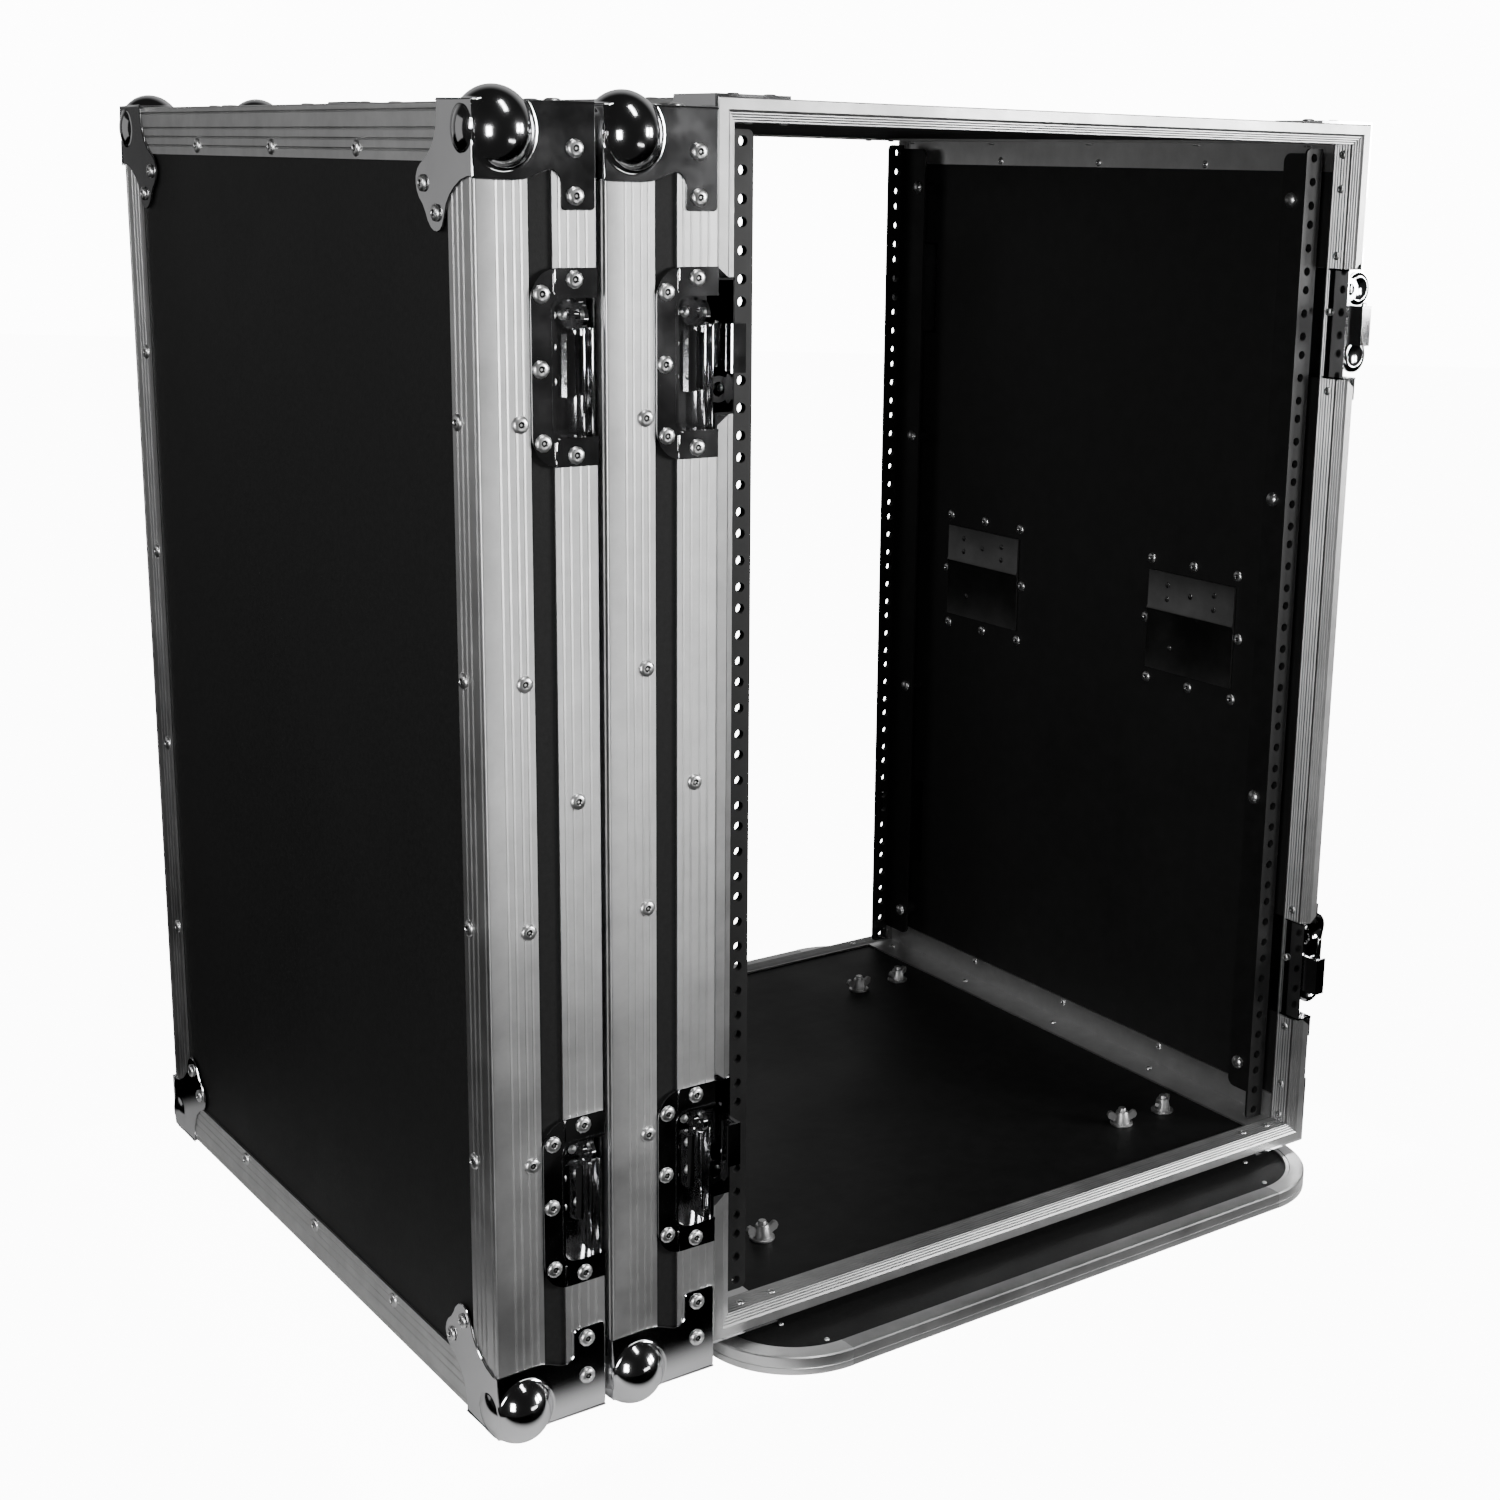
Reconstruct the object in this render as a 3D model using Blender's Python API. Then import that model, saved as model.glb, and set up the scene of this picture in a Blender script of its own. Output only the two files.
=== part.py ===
"""Sixteen-unit equipment rack case standing on its base board, with its two lids taken off and stood on its left.

Metres, +Z up.  The case opens towards -Y and +Y, the lids stand on its -X side, and the origin is the centre of
the base board's underside.
"""

import math

import bmesh
import bpy
from mathutils import Matrix, Vector

# Overall sizes
CASE_WIDTH = 0.526
CASE_HEIGHT = 0.744
CASE_DEPTH = 0.521
LID_DEPTH = 0.070
RACK_UNITS = 16

# Sheet, panel and fit sizes
FIT = 0.0003
PANEL = 0.0094
SHEET = 0.0015
PLATE = 0.0012

# Rack standard
UNIT = 0.04445
UNIT_HOLES = (0.00635, 0.022225, 0.0381)
HOLE_SPACING = 0.4651
CLEAR_OPENING = 0.45085
HOLE_RADIUS = 0.0030

# Extrusions
WALL = SHEET + FIT + PANEL + FIT + SHEET
FRAME_LIP = 0.0070
FRAME_CHAMFER = 0.0045
FRAME_OUTER_LEG = 0.026
FRAME_INNER_LEG = 0.021
FRAME_WEB = 0.0080
LID_INNER_LEG = 0.020
EDGE_LEG = 0.030
INNER_FLOOR_LEG = 0.028
INNER_WALL_LEG = 0.020
BRACE_LEG = 0.048
BRACE_LAP = 0.018

# Base board
BOARD_THICKNESS = 0.012
BOARD_WIDTH = 0.512
BOARD_OVERHANG = 0.047
BOARD_CORNER = 0.066
BOARD_TRIM = 0.0136
BOARD_GAP = 0.006
BOLT_RADIUS = 0.0030
BOLT_COLUMNS = (-0.213, -0.175, 0.150, 0.192)
BOLT_ROWS = (-0.182, 0.154)

# Rack rails
RAIL_SETBACK = 0.0225
RAIL_SHEET = 0.0020
RAIL_FACE = 0.0156
RAIL_SIDE = 0.034
RAIL_SCREWS = (0.111, 0.321)
RAIL_SCREW_SETBACK = 0.025

# Latches: x stands off the side, y runs away from the parting line, z up
LATCH_SPREAD = 0.2375
LATCH_HALF_HEIGHT = 0.052
RECESS_HALF_HEIGHT = 0.0365
RECESS_FLOOR = -0.0107
DISH_FRONT = 0.010
DISH_RECESS_END = 0.0585
DISH_PLATE_END = 0.071
KEEPER_RECESS_END = 0.0264
KEEPER_PLATE_END = LID_DEPTH - EDGE_LEG - FIT
PLATE_TOP = 0.0015
PLATE_CORNER = 0.014
PIN_Y = 0.021
PIN_X = -0.0037
WING_LOBE = 0.012
WING_LOBE_X = 0.0203
WING_LOBE_Z = 0.0233
WING_SHEET = 0.0016
WING_NECK = 0.009
BARREL_RADIUS = 0.0020
PIN_RADIUS = 0.0012

# Side handles: x stands off the side, y runs along the case, z up
HANDLE_PLACES = (-0.125, 0.125)
HANDLE_HALF_LENGTH = 0.054
HANDLE_HALF_HEIGHT = 0.056
POCKET_HALF_LENGTH = 0.044
POCKET_HALF_HEIGHT = 0.036
POCKET_FLOOR = -0.0103
ROD_X = -0.0052
ROD_Z = 0.026
ROD_RADIUS = 0.0022
GRIP_RADIUS = 0.0048
GRIP_DROP = 0.046
GRIP_HALF_LENGTH = 0.038

# Lids as they stand beside the case
LID_FORWARD = 0.010
LID_GAP = 0.0065
LID_BALL_GAP = 0.0010
BALL_RADIUS = 0.021
BALL_PROUD_FACE = 0.0045
BALL_PROUD_SIDE = 0.0105
CORNER_TOP = 0.0018

SHARP_ANGLE = math.radians(50)

HALF_WIDTH = CASE_WIDTH / 2
HALF_HEIGHT = CASE_HEIGHT / 2
HALF_DEPTH = CASE_DEPTH / 2
CASE_BOTTOM = BOARD_THICKNESS + BOARD_GAP
CASE_TOP = CASE_BOTTOM + CASE_HEIGHT
CASE_MIDDLE = CASE_BOTTOM + HALF_HEIGHT
SKIN = SHEET + FIT
LID_MIDDLE = HALF_HEIGHT + BALL_PROUD_SIDE
LID_Y = -LID_FORWARD + (CASE_WIDTH - CASE_DEPTH) / 2
LID_2_X = -HALF_WIDTH - LID_GAP
LID_1_X = LID_2_X - LID_DEPTH - BALL_PROUD_FACE - LID_BALL_GAP

SIDES = {"left": -1, "right": 1}
ENDS = {"front": -1, "rear": 1}
LEVELS = {"lower": -1, "upper": 1}
# Every latch is the same part turned half a turn about one axis
LATCH_TURNS = {
    ("right", "front"): (0.0, 0.0, 0.0),
    ("left", "front"): (0.0, math.pi, 0.0),
    ("right", "rear"): (math.pi, 0.0, 0.0),
    ("left", "rear"): (0.0, 0.0, math.pi),
}


# ---------------------------------------------------------------- scene and materials


def clear_scene():
    for thing in list(bpy.data.objects):
        bpy.data.objects.remove(thing, do_unlink=True)


def make_collection(name, hidden=False):
    collection = bpy.data.collections.new(name)
    bpy.context.scene.collection.children.link(collection)
    collection.hide_render = hidden
    return collection


def make_material(name, colour, roughness, metallic):
    material = bpy.data.materials.new(name)
    material.use_nodes = True
    shader = material.node_tree.nodes["Principled BSDF"]
    shader.inputs["Base Color"].default_value = (*colour, 1.0)
    shader.inputs["Roughness"].default_value = roughness
    shader.inputs["Metallic"].default_value = metallic
    return material


# ---------------------------------------------------------------- shapes


def mesh_object(name, work, smooth=False):
    """Turns a bmesh into an object of its own, with its faces pointing out."""
    bmesh.ops.recalc_face_normals(work, faces=work.faces)
    if work.calc_volume(signed=True) < 0:
        bmesh.ops.reverse_faces(work, faces=work.faces)
    mesh = bpy.data.meshes.new(name)
    work.to_mesh(mesh)
    work.free()
    if smooth:
        mesh.shade_smooth()
        mesh.set_sharp_from_angle(angle=SHARP_ANGLE)
    return bpy.data.objects.new(name, mesh)


def box(name, low, high):
    work = bmesh.new()
    bmesh.ops.create_cube(work, size=1.0)
    size = Vector(high) - Vector(low)
    middle = (Vector(high) + Vector(low)) / 2
    bmesh.ops.scale(work, vec=size, verts=work.verts)
    bmesh.ops.translate(work, vec=middle, verts=work.verts)
    return mesh_object(name, work)


def cylinder(name, radius, start, end, axis, centre, sides=12, top_radius=None):
    """A round bar from start to end along the X, Y or Z axis through centre."""
    work = bmesh.new()
    turn = {"X": Matrix.Rotation(math.pi / 2, 4, "Y"), "Y": Matrix.Rotation(-math.pi / 2, 4, "X"), "Z": Matrix()}
    bmesh.ops.create_cone(
        work,
        cap_ends=True,
        segments=sides,
        radius1=radius,
        radius2=radius if top_radius is None else top_radius,
        depth=end - start,
        matrix=turn[axis],
    )
    along = {"X": Vector((1, 0, 0)), "Y": Vector((0, 1, 0)), "Z": Vector((0, 0, 1))}[axis]
    bmesh.ops.translate(work, vec=Vector(centre) + along * (start + end) / 2, verts=work.verts)
    return mesh_object(name, work, smooth=True)


def ball(name, radius, centre):
    work = bmesh.new()
    bmesh.ops.create_uvsphere(work, u_segments=16, v_segments=10, radius=radius)
    bmesh.ops.translate(work, vec=Vector(centre), verts=work.verts)
    return mesh_object(name, work, smooth=True)


def plate(name, outline, start, end, plane):
    """A flat outline given thickness.  plane names the two axes of the outline, and it is thick along the third."""
    curve = bpy.data.curves.new(name, "CURVE")
    curve.dimensions = "2D"
    curve.fill_mode = "BOTH"
    curve.extrude = (end - start) / 2
    spline = curve.splines.new("POLY")
    spline.points.add(len(outline) - 1)
    for point, (a, b) in zip(spline.points, outline):
        point.co = (a, b, 0.0, 1.0)
    spline.use_cyclic_u = True
    sketch = bpy.data.objects.new(name + "_sketch", curve)
    mesh = bpy.data.meshes.new_from_object(sketch)
    bpy.data.objects.remove(sketch)
    work = bmesh.new()
    work.from_mesh(mesh)
    bpy.data.meshes.remove(mesh)
    bmesh.ops.remove_doubles(work, verts=work.verts, dist=1e-7)
    middle = (start + end) / 2
    for vertex in work.verts:
        a, b, c = vertex.co
        c += middle
        vertex.co = {"XY": (a, b, c), "XZ": (a, c, b), "YZ": (c, a, b)}[plane]
    return mesh_object(name, work)


def lofted_ring(name, stations, profile, smooth=False):
    """A closed ring: the same profile at every station.

    A station is a point, the direction in which the profile's first number is measured from it, and the direction
    of its second number.
    """
    work = bmesh.new()
    rows = []
    for point, inward, along in stations:
        rows.append([work.verts.new(point + inward * u + along * v) for u, v in profile])
    for row, after in zip(rows, rows[1:] + rows[:1]):
        for j in range(len(profile)):
            k = (j + 1) % len(profile)
            work.faces.new((row[j], after[j], after[k], row[k]))
    return mesh_object(name, work, smooth)


def arc(centre, radius, first, last, steps):
    """Points of an arc, angles in degrees."""
    points = []
    for step in range(steps + 1):
        angle = math.radians(first + (last - first) * step / steps)
        points.append((centre[0] + radius * math.cos(angle), centre[1] + radius * math.sin(angle)))
    return points


def rounded_corners(half_x, half_y, radius, steps):
    """Outline of a rectangle with round corners, anticlockwise."""
    points = []
    for first, sign_x, sign_y in ((0, 1, 1), (90, -1, 1), (180, -1, -1), (270, 1, -1)):
        centre = (sign_x * (half_x - radius), sign_y * (half_y - radius))
        points += arc(centre, radius, first, first + 90, steps)
    return points


# ---------------------------------------------------------------- building


def add_boolean(target, tool, operation):
    modifier = target.modifiers.new(operation.lower(), "BOOLEAN")
    modifier.operation = operation
    modifier.solver = "EXACT"
    modifier.object = tool
    if tool.name not in cutters.objects:
        cutters.objects.link(tool)
    tool.display_type = "WIRE"
    tool.hide_render = True


def cut(target, tool):
    add_boolean(target, tool, "DIFFERENCE")


def fuse(target, tool):
    add_boolean(target, tool, "UNION")


def place(thing, material, location=(0, 0, 0), turn=(0, 0, 0)):
    """Puts a finished sub-part, and the tools that shape it, where they belong."""
    thing.data.materials.append(material)
    parts.objects.link(thing)
    where = Matrix.LocRotScale(Vector(location), None, None) @ turn_matrix(turn)
    move_tools(thing, where)
    thing.location = location
    thing.rotation_euler = turn
    return thing


def turn_matrix(turn):
    return (
        Matrix.Rotation(turn[2], 4, "Z") @ Matrix.Rotation(turn[1], 4, "Y") @ Matrix.Rotation(turn[0], 4, "X")
    )


def move_tools(thing, where):
    for modifier in thing.modifiers:
        if modifier.type == "BOOLEAN":
            modifier.object.matrix_world = where @ modifier.object.matrix_world
            move_tools(modifier.object, where)


def merged(name, pieces):
    """Several separate tools as one tool."""
    work = bmesh.new()
    for piece in pieces:
        work.from_mesh(piece.data)
        bpy.data.objects.remove(piece)
    return mesh_object(name, work)


# ---------------------------------------------------------------- the case's panels and extrusions


def side_panel(side):
    sign = SIDES[side]
    outer = HALF_WIDTH - SKIN
    inner = outer - PANEL
    end = HALF_DEPTH - FRAME_WEB - FIT
    low = CASE_BOTTOM + SKIN
    high = CASE_TOP - SKIN
    panel = box(side + "_panel", (min(sign * inner, sign * outer), -end, low),
                (max(sign * inner, sign * outer), end, high))
    holes = []
    for end_sign in ENDS.values():
        for level in LEVELS.values():
            middle = CASE_MIDDLE + level * LATCH_SPREAD
            far = HALF_DEPTH - DISH_RECESS_END - PLATE - FIT
            near = HALF_DEPTH + 0.01
            ends = sorted((end_sign * far, end_sign * near))
            reach = RECESS_HALF_HEIGHT + PLATE + FIT
            holes.append(box("hole", (-0.4, ends[0], middle - reach), (0.4, ends[1], middle + reach)))
    for place_y in HANDLE_PLACES:
        length = POCKET_HALF_LENGTH + PLATE + FIT
        height = POCKET_HALF_HEIGHT + PLATE + FIT
        holes.append(box("hole", (-0.4, place_y - length, CASE_MIDDLE - height),
                         (0.4, place_y + length, CASE_MIDDLE + height)))
    cut(panel, merged(side + "_panel_openings", holes))
    place(panel, black_board)


def flat_panel(name, bottom):
    """Top panel, or the floor with the holes for the board's bolts."""
    reach = HALF_WIDTH - SKIN - PANEL - FIT
    end = HALF_DEPTH - FRAME_WEB - FIT
    panel = box(name, (-reach, -end, bottom), (reach, end, bottom + PANEL))
    if name == "floor_panel":
        holes = []
        for x, y in bolt_places():
            holes.append(cylinder("hole", BOLT_RADIUS + FIT, 0.0, 0.1, "Z", (x, y, 0.0), 8))
        cut(panel, merged("floor_bolt_holes", holes))
    place(panel, black_board)


def bolt_places():
    return [(x, y) for x in BOLT_COLUMNS for y in BOLT_ROWS]


def mitred_stations(half_a, half_b, centre, first_axis, along):
    """The four mitred corners of a rectangular frame standing in a vertical plane."""
    stations = []
    for sign_a, sign_b in ((1, 1), (-1, 1), (-1, -1), (1, -1)):
        point = centre + first_axis * sign_a * half_a + Vector((0, 0, sign_b * half_b))
        inward = -first_axis * sign_a - Vector((0, 0, sign_b))
        stations.append((point, inward, along))
    return stations


def case_frame_profile():
    inner = WALL - SHEET
    return [
        (0.0, 0.0),
        (FRAME_LIP, 0.0),
        (WALL, FRAME_CHAMFER),
        (WALL, FRAME_INNER_LEG),
        (inner, FRAME_INNER_LEG),
        (inner, FRAME_WEB),
        (SHEET, FRAME_WEB),
        (SHEET, FRAME_OUTER_LEG),
        (0.0, FRAME_OUTER_LEG),
    ]


def case_frame(end):
    sign = ENDS[end]
    centre = Vector((0.0, sign * HALF_DEPTH, CASE_MIDDLE))
    stations = mitred_stations(HALF_WIDTH, HALF_HEIGHT, centre, Vector((1, 0, 0)), Vector((0, -sign, 0)))
    frame = lofted_ring(end + "_frame", stations, case_frame_profile())
    height = RECESS_HALF_HEIGHT + PLATE + FIT
    strip = 0.0015
    for side in SIDES.values():
        for level in LEVELS.values():
            middle = CASE_MIDDLE + level * LATCH_SPREAD
            through = [side * (HALF_WIDTH + 0.002), side * (HALF_WIDTH - WALL + 0.001)]
            depth = [sign * (HALF_DEPTH + 0.002), sign * (HALF_DEPTH - 0.030)]
            cut(frame, box("notch", (min(through), min(depth), middle - height),
                           (max(through), max(depth), middle + height)))
            across = [side * (HALF_WIDTH - WALL + 0.002), side * (HALF_WIDTH - WALL - 0.002)]
            short = [sign * (HALF_DEPTH + 0.002), sign * (HALF_DEPTH - FRAME_INNER_LEG + strip)]
            cut(frame, box("notch", (min(across), min(short), middle - height),
                           (max(across), max(short), middle + height)))
    place(frame, aluminium)


def edge_angle(level, side):
    """Outer angle along one long edge of the case, with a corner brace riveted over each end."""
    sign_x = SIDES[side]
    sign_z = 1 if level == "top" else -1
    end = HALF_DEPTH - FRAME_OUTER_LEG - FIT
    outline = [(0, 0), (EDGE_LEG, 0), (EDGE_LEG, SHEET), (SHEET, SHEET), (SHEET, EDGE_LEG), (0, EDGE_LEG)]
    corner_z = CASE_TOP if sign_z > 0 else CASE_BOTTOM
    outline = [(sign_x * (HALF_WIDTH - u), corner_z - sign_z * v) for u, v in outline]
    angle = plate("edge_angle_" + level + "_" + side, outline, -end, end, "XZ")
    for end_sign in ENDS.values():
        # The brace stands clear of the frame it covers and is one with the angle it is riveted to
        over_frame = (HALF_DEPTH - 0.001, end - FIT / 2, FIT)
        over_angle = (end - FIT / 2, end - BRACE_LAP, -FIT)
        for far, near, under in (over_frame, over_angle):
            ys = sorted((end_sign * far, end_sign * near))
            legs = [
                (HALF_WIDTH - BRACE_LEG, HALF_HEIGHT + under),
                (HALF_WIDTH + under, HALF_HEIGHT - BRACE_LEG),
            ]
            for x, z in legs:
                xs = sorted((sign_x * x, sign_x * (HALF_WIDTH + CORNER_TOP)))
                zs = sorted((CASE_MIDDLE + sign_z * z, CASE_MIDDLE + sign_z * (HALF_HEIGHT + CORNER_TOP)))
                fuse(angle, box("brace", (xs[0], ys[0], zs[0]), (xs[1], ys[1], zs[1])))
    place(angle, aluminium)


def inner_angle(level, side):
    """Inner angle where the floor or ceiling meets a side panel."""
    sign_x = SIDES[side]
    sign_z = 1 if level == "top" else -1
    end = HALF_DEPTH - FRAME_INNER_LEG - FIT
    corner = HALF_WIDTH - WALL + SHEET
    outline = [
        (0, 0),
        (INNER_FLOOR_LEG, 0),
        (INNER_FLOOR_LEG, SHEET),
        (SHEET, SHEET),
        (SHEET, INNER_WALL_LEG),
        (0, INNER_WALL_LEG),
    ]
    corner_z = CASE_MIDDLE + sign_z * (HALF_HEIGHT - WALL + SHEET)
    outline = [(sign_x * (corner - u), corner_z - sign_z * v) for u, v in outline]
    place(plate("inner_angle_" + level + "_" + side, outline, -end, end, "XZ"), aluminium)


# ---------------------------------------------------------------- rack rails


def rack_rail(end, side):
    """Punched rack rail with its side flange, its screws and the spacers that stand it off the side panel."""
    sign_x = SIDES[side]
    sign_y = ENDS[end]
    rack_height = RACK_UNITS * UNIT
    bottom = CASE_MIDDLE - rack_height / 2
    face = HALF_DEPTH - RAIL_SETBACK
    inner_x = CLEAR_OPENING / 2
    outer_x = inner_x + RAIL_FACE
    outline = [
        (inner_x, face),
        (outer_x, face),
        (outer_x, face - RAIL_SIDE),
        (outer_x - RAIL_SHEET, face - RAIL_SIDE),
        (outer_x - RAIL_SHEET, face - RAIL_SHEET),
        (inner_x, face - RAIL_SHEET),
    ]
    outline = [(sign_x * x, sign_y * y) for x, y in outline]
    rail = plate("rack_rail_" + end + "_" + side, outline, bottom, bottom + rack_height, "XY")
    holes = []
    for unit in range(RACK_UNITS):
        for offset in UNIT_HOLES:
            centre = (sign_x * HOLE_SPACING / 2, 0.0, bottom + unit * UNIT + offset)
            ends = sorted((sign_y * (face + 0.001), sign_y * (face - RAIL_SHEET - 0.001)))
            holes.append(cylinder("hole", HOLE_RADIUS, ends[0], ends[1], "Y", centre, 6))
    cut(rail, merged("rail_holes", holes))
    wall = HALF_WIDTH - SKIN - PANEL - FIT
    for height in RAIL_SCREWS:
        for level in LEVELS.values():
            centre = (0.0, sign_y * (face - RAIL_SCREW_SETBACK), CASE_MIDDLE + level * height)
            spacer = sorted((sign_x * (outer_x - RAIL_SHEET / 2), sign_x * wall))
            fuse(rail, cylinder("spacer", 0.0055, spacer[0], spacer[1], "X", centre, 8))
            head = sorted((sign_x * (outer_x - RAIL_SHEET / 2), sign_x * (outer_x - RAIL_SHEET - 0.0022)))
            fuse(rail, cylinder("head", 0.0062, head[0], head[1], "X", centre, 8))
    place(rail, black_steel)


# ---------------------------------------------------------------- latches


def rounded_plate_outline(end, recess_end):
    """Latch plate with a recess open at the parting line and its two far corners rounded."""
    height = LATCH_HALF_HEIGHT
    near = 0.0005
    outline = [(near, RECESS_HALF_HEIGHT), (near, height)]
    outline += arc((end - PLATE_CORNER, height - PLATE_CORNER), PLATE_CORNER, 90, 0, 4)
    outline += arc((end - PLATE_CORNER, PLATE_CORNER - height), PLATE_CORNER, 0, -90, 4)
    outline += [(near, -height), (near, -RECESS_HALF_HEIGHT)]
    outline += [(recess_end, -RECESS_HALF_HEIGHT), (recess_end, RECESS_HALF_HEIGHT)]
    return outline


def recess_tray(name, front, end, top):
    """The pressed pocket of a latch plate, open at the parting line and outwards."""
    height = RECESS_HALF_HEIGHT + PLATE
    tray = box(name, (RECESS_FLOOR - 0.001, front, -height), (top, end + PLATE, height))
    cut(tray, box(name + "_hollow", (RECESS_FLOOR, front - 0.02, -RECESS_HALF_HEIGHT), (0.02, end, RECESS_HALF_HEIGHT)))
    return tray


def latch_dish(side, end, level):
    """Case half of a recessed butterfly latch, with the hook, the padlock tab and the post that carries the wing."""
    name = "latch_dish_" + end + "_" + side + "_" + level
    dish = plate(name, rounded_plate_outline(DISH_PLATE_END, DISH_RECESS_END), FIT, PLATE_TOP, "YZ")
    fuse(dish, recess_tray("tray", DISH_FRONT, DISH_RECESS_END, 0.0010))
    floor = RECESS_FLOOR - 0.0003
    fuse(dish, cylinder("post", 0.0060, floor, -0.0070, "X", (0.0, PIN_Y, 0.0), 10))
    lug_in = WING_NECK + FIT
    lug_out = lug_in + 0.0025
    fuse(dish, box("bridge", (-0.0086, PIN_Y - 0.0035, -lug_out), (-0.0060, PIN_Y + 0.0035, lug_out)))
    for sign in LEVELS.values():
        zs = sorted((sign * lug_in, sign * lug_out))
        lug = box("lug", (-0.0070, PIN_Y - 0.0030, zs[0]), (-0.0015, PIN_Y + 0.0030, zs[1]))
        fuse(dish, lug)
    cut(dish, cylinder("pin_hole", PIN_RADIUS + FIT, -0.014, 0.014, "Z", (PIN_X, PIN_Y, 0.0), 8))
    hook = [
        (RECESS_FLOOR + 0.0005, -0.0125),
        (-0.0010, -0.0125),
        (-0.0010, -0.0110),
        (-0.0080, -0.0110),
        (-0.0080, 0.0190),
        (RECESS_FLOOR + 0.0005, 0.0190),
    ]
    fuse(dish, plate("hook", hook, -0.0135, 0.0135, "XY"))
    fuse(dish, box("tab_foot", (floor, 0.0060, 0.0170), (RECESS_FLOOR + 0.0014, 0.0240, 0.0310)))
    tab_x = -0.0040
    tab = [(floor, 0.0160)]
    tab += arc((tab_x, 0.0240), 0.0078, -70, 70, 6)
    tab += [(floor, 0.0320)]
    tab_plate = plate("tab", tab, 0.0055, 0.0070, "XZ")
    fuse(dish, tab_plate)
    cut(dish, cylinder("tab_hole", 0.0040, 0.0, 0.0080, "Y", (tab_x, 0.0, 0.0240), 8))
    place_latch(dish, chrome, side, end, level)


def latch_wing(side, end, level):
    """The butterfly handle, standing straight out of its recess and folding flat into it."""
    name = "latch_wing_" + end + "_" + side + "_" + level
    x = WING_LOBE_X - PIN_X
    z = WING_LOBE_Z
    outline = [(0.0, -WING_NECK), (x - WING_LOBE, -WING_NECK)]
    outline += arc((x, -z), WING_LOBE, 180, 360, 8)
    outline += [(x + 0.8 * WING_LOBE, -0.5 * z), (x + 0.8 * WING_LOBE, 0.5 * z)]
    outline += arc((x, z), WING_LOBE, 0, 180, 8)
    outline += [(x - WING_LOBE, WING_NECK), (0.0, WING_NECK)]
    wing = plate(name, outline, -WING_SHEET / 2, WING_SHEET / 2, "XZ")
    fuse(wing, cylinder("barrel", BARREL_RADIUS, -WING_NECK, WING_NECK, "Z", (0, 0, 0), 8))
    fuse(wing, cylinder("pin", PIN_RADIUS, -0.0130, 0.0130, "Z", (0, 0, 0), 8))
    place_latch(wing, chrome, side, end, level, Vector((PIN_X, PIN_Y, 0.0)))


def place_latch(thing, material, side, end, level, offset=Vector((0.0, 0.0, 0.0))):
    turn = LATCH_TURNS[(side, end)]
    corner = Vector((SIDES[side] * HALF_WIDTH, ENDS[end] * HALF_DEPTH, CASE_MIDDLE + LEVELS[level] * LATCH_SPREAD))
    place(thing, material, corner + turn_matrix(turn) @ offset, turn)


# ---------------------------------------------------------------- side handles


def place_handle(thing, material, side, place_y, offset=Vector((0.0, 0.0, 0.0))):
    turn = (0.0, 0.0, 0.0) if side == "right" else (0.0, 0.0, math.pi)
    where = Vector((SIDES[side] * HALF_WIDTH, place_y, CASE_MIDDLE))
    place(thing, material, where + turn_matrix(turn) @ offset, turn)


def handle_dish(side, end, place_y):
    """Recessed plate of a side handle, with the rod its grip swings on."""
    name = "handle_dish_" + end + "_" + side
    dish = box(name, (-SHEET, -HANDLE_HALF_LENGTH, -HANDLE_HALF_HEIGHT), (0.0, HANDLE_HALF_LENGTH, HANDLE_HALF_HEIGHT))
    length = POCKET_HALF_LENGTH + PLATE
    height = POCKET_HALF_HEIGHT + PLATE
    fuse(dish, box("pocket", (POCKET_FLOOR - PLATE, -length, -height), (-SHEET / 2, length, height)))
    cut(dish, box("hollow", (POCKET_FLOOR, -POCKET_HALF_LENGTH, -POCKET_HALF_HEIGHT),
                  (0.02, POCKET_HALF_LENGTH, POCKET_HALF_HEIGHT)))
    reach = POCKET_HALF_LENGTH + PLATE / 2
    fuse(dish, cylinder("rod", ROD_RADIUS, -reach, reach, "Y", (ROD_X, 0.0, ROD_Z), 8))
    place_handle(dish, chrome, side, place_y)


def handle_grip(side, end, place_y):
    """Sprung grip hanging in its pocket: two eyes on the rod, two arms and the round grip."""
    name = "handle_grip_" + end + "_" + side
    grip = cylinder(name, GRIP_RADIUS, -GRIP_HALF_LENGTH, GRIP_HALF_LENGTH, "Y", (0.0, 0.0, -GRIP_DROP), 12)
    arm_width = 0.0060
    bore = ROD_RADIUS + FIT
    for sign in (-1, 1):
        ys = sorted((sign * (GRIP_HALF_LENGTH - arm_width), sign * GRIP_HALF_LENGTH))
        fuse(grip, cylinder("eye", 0.0043, ys[0], ys[1], "Y", (0, 0, 0), 12))
        fuse(grip, box("arm", (-0.0028, ys[0], -GRIP_DROP), (0.0028, ys[1], 0.0)))
    cut(grip, cylinder("eye_bore", bore, -0.05, 0.05, "Y", (0, 0, 0), 8))
    place_handle(grip, black_rubber, side, place_y, Vector((ROD_X, 0.0, ROD_Z)))


# ---------------------------------------------------------------- base board


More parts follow.
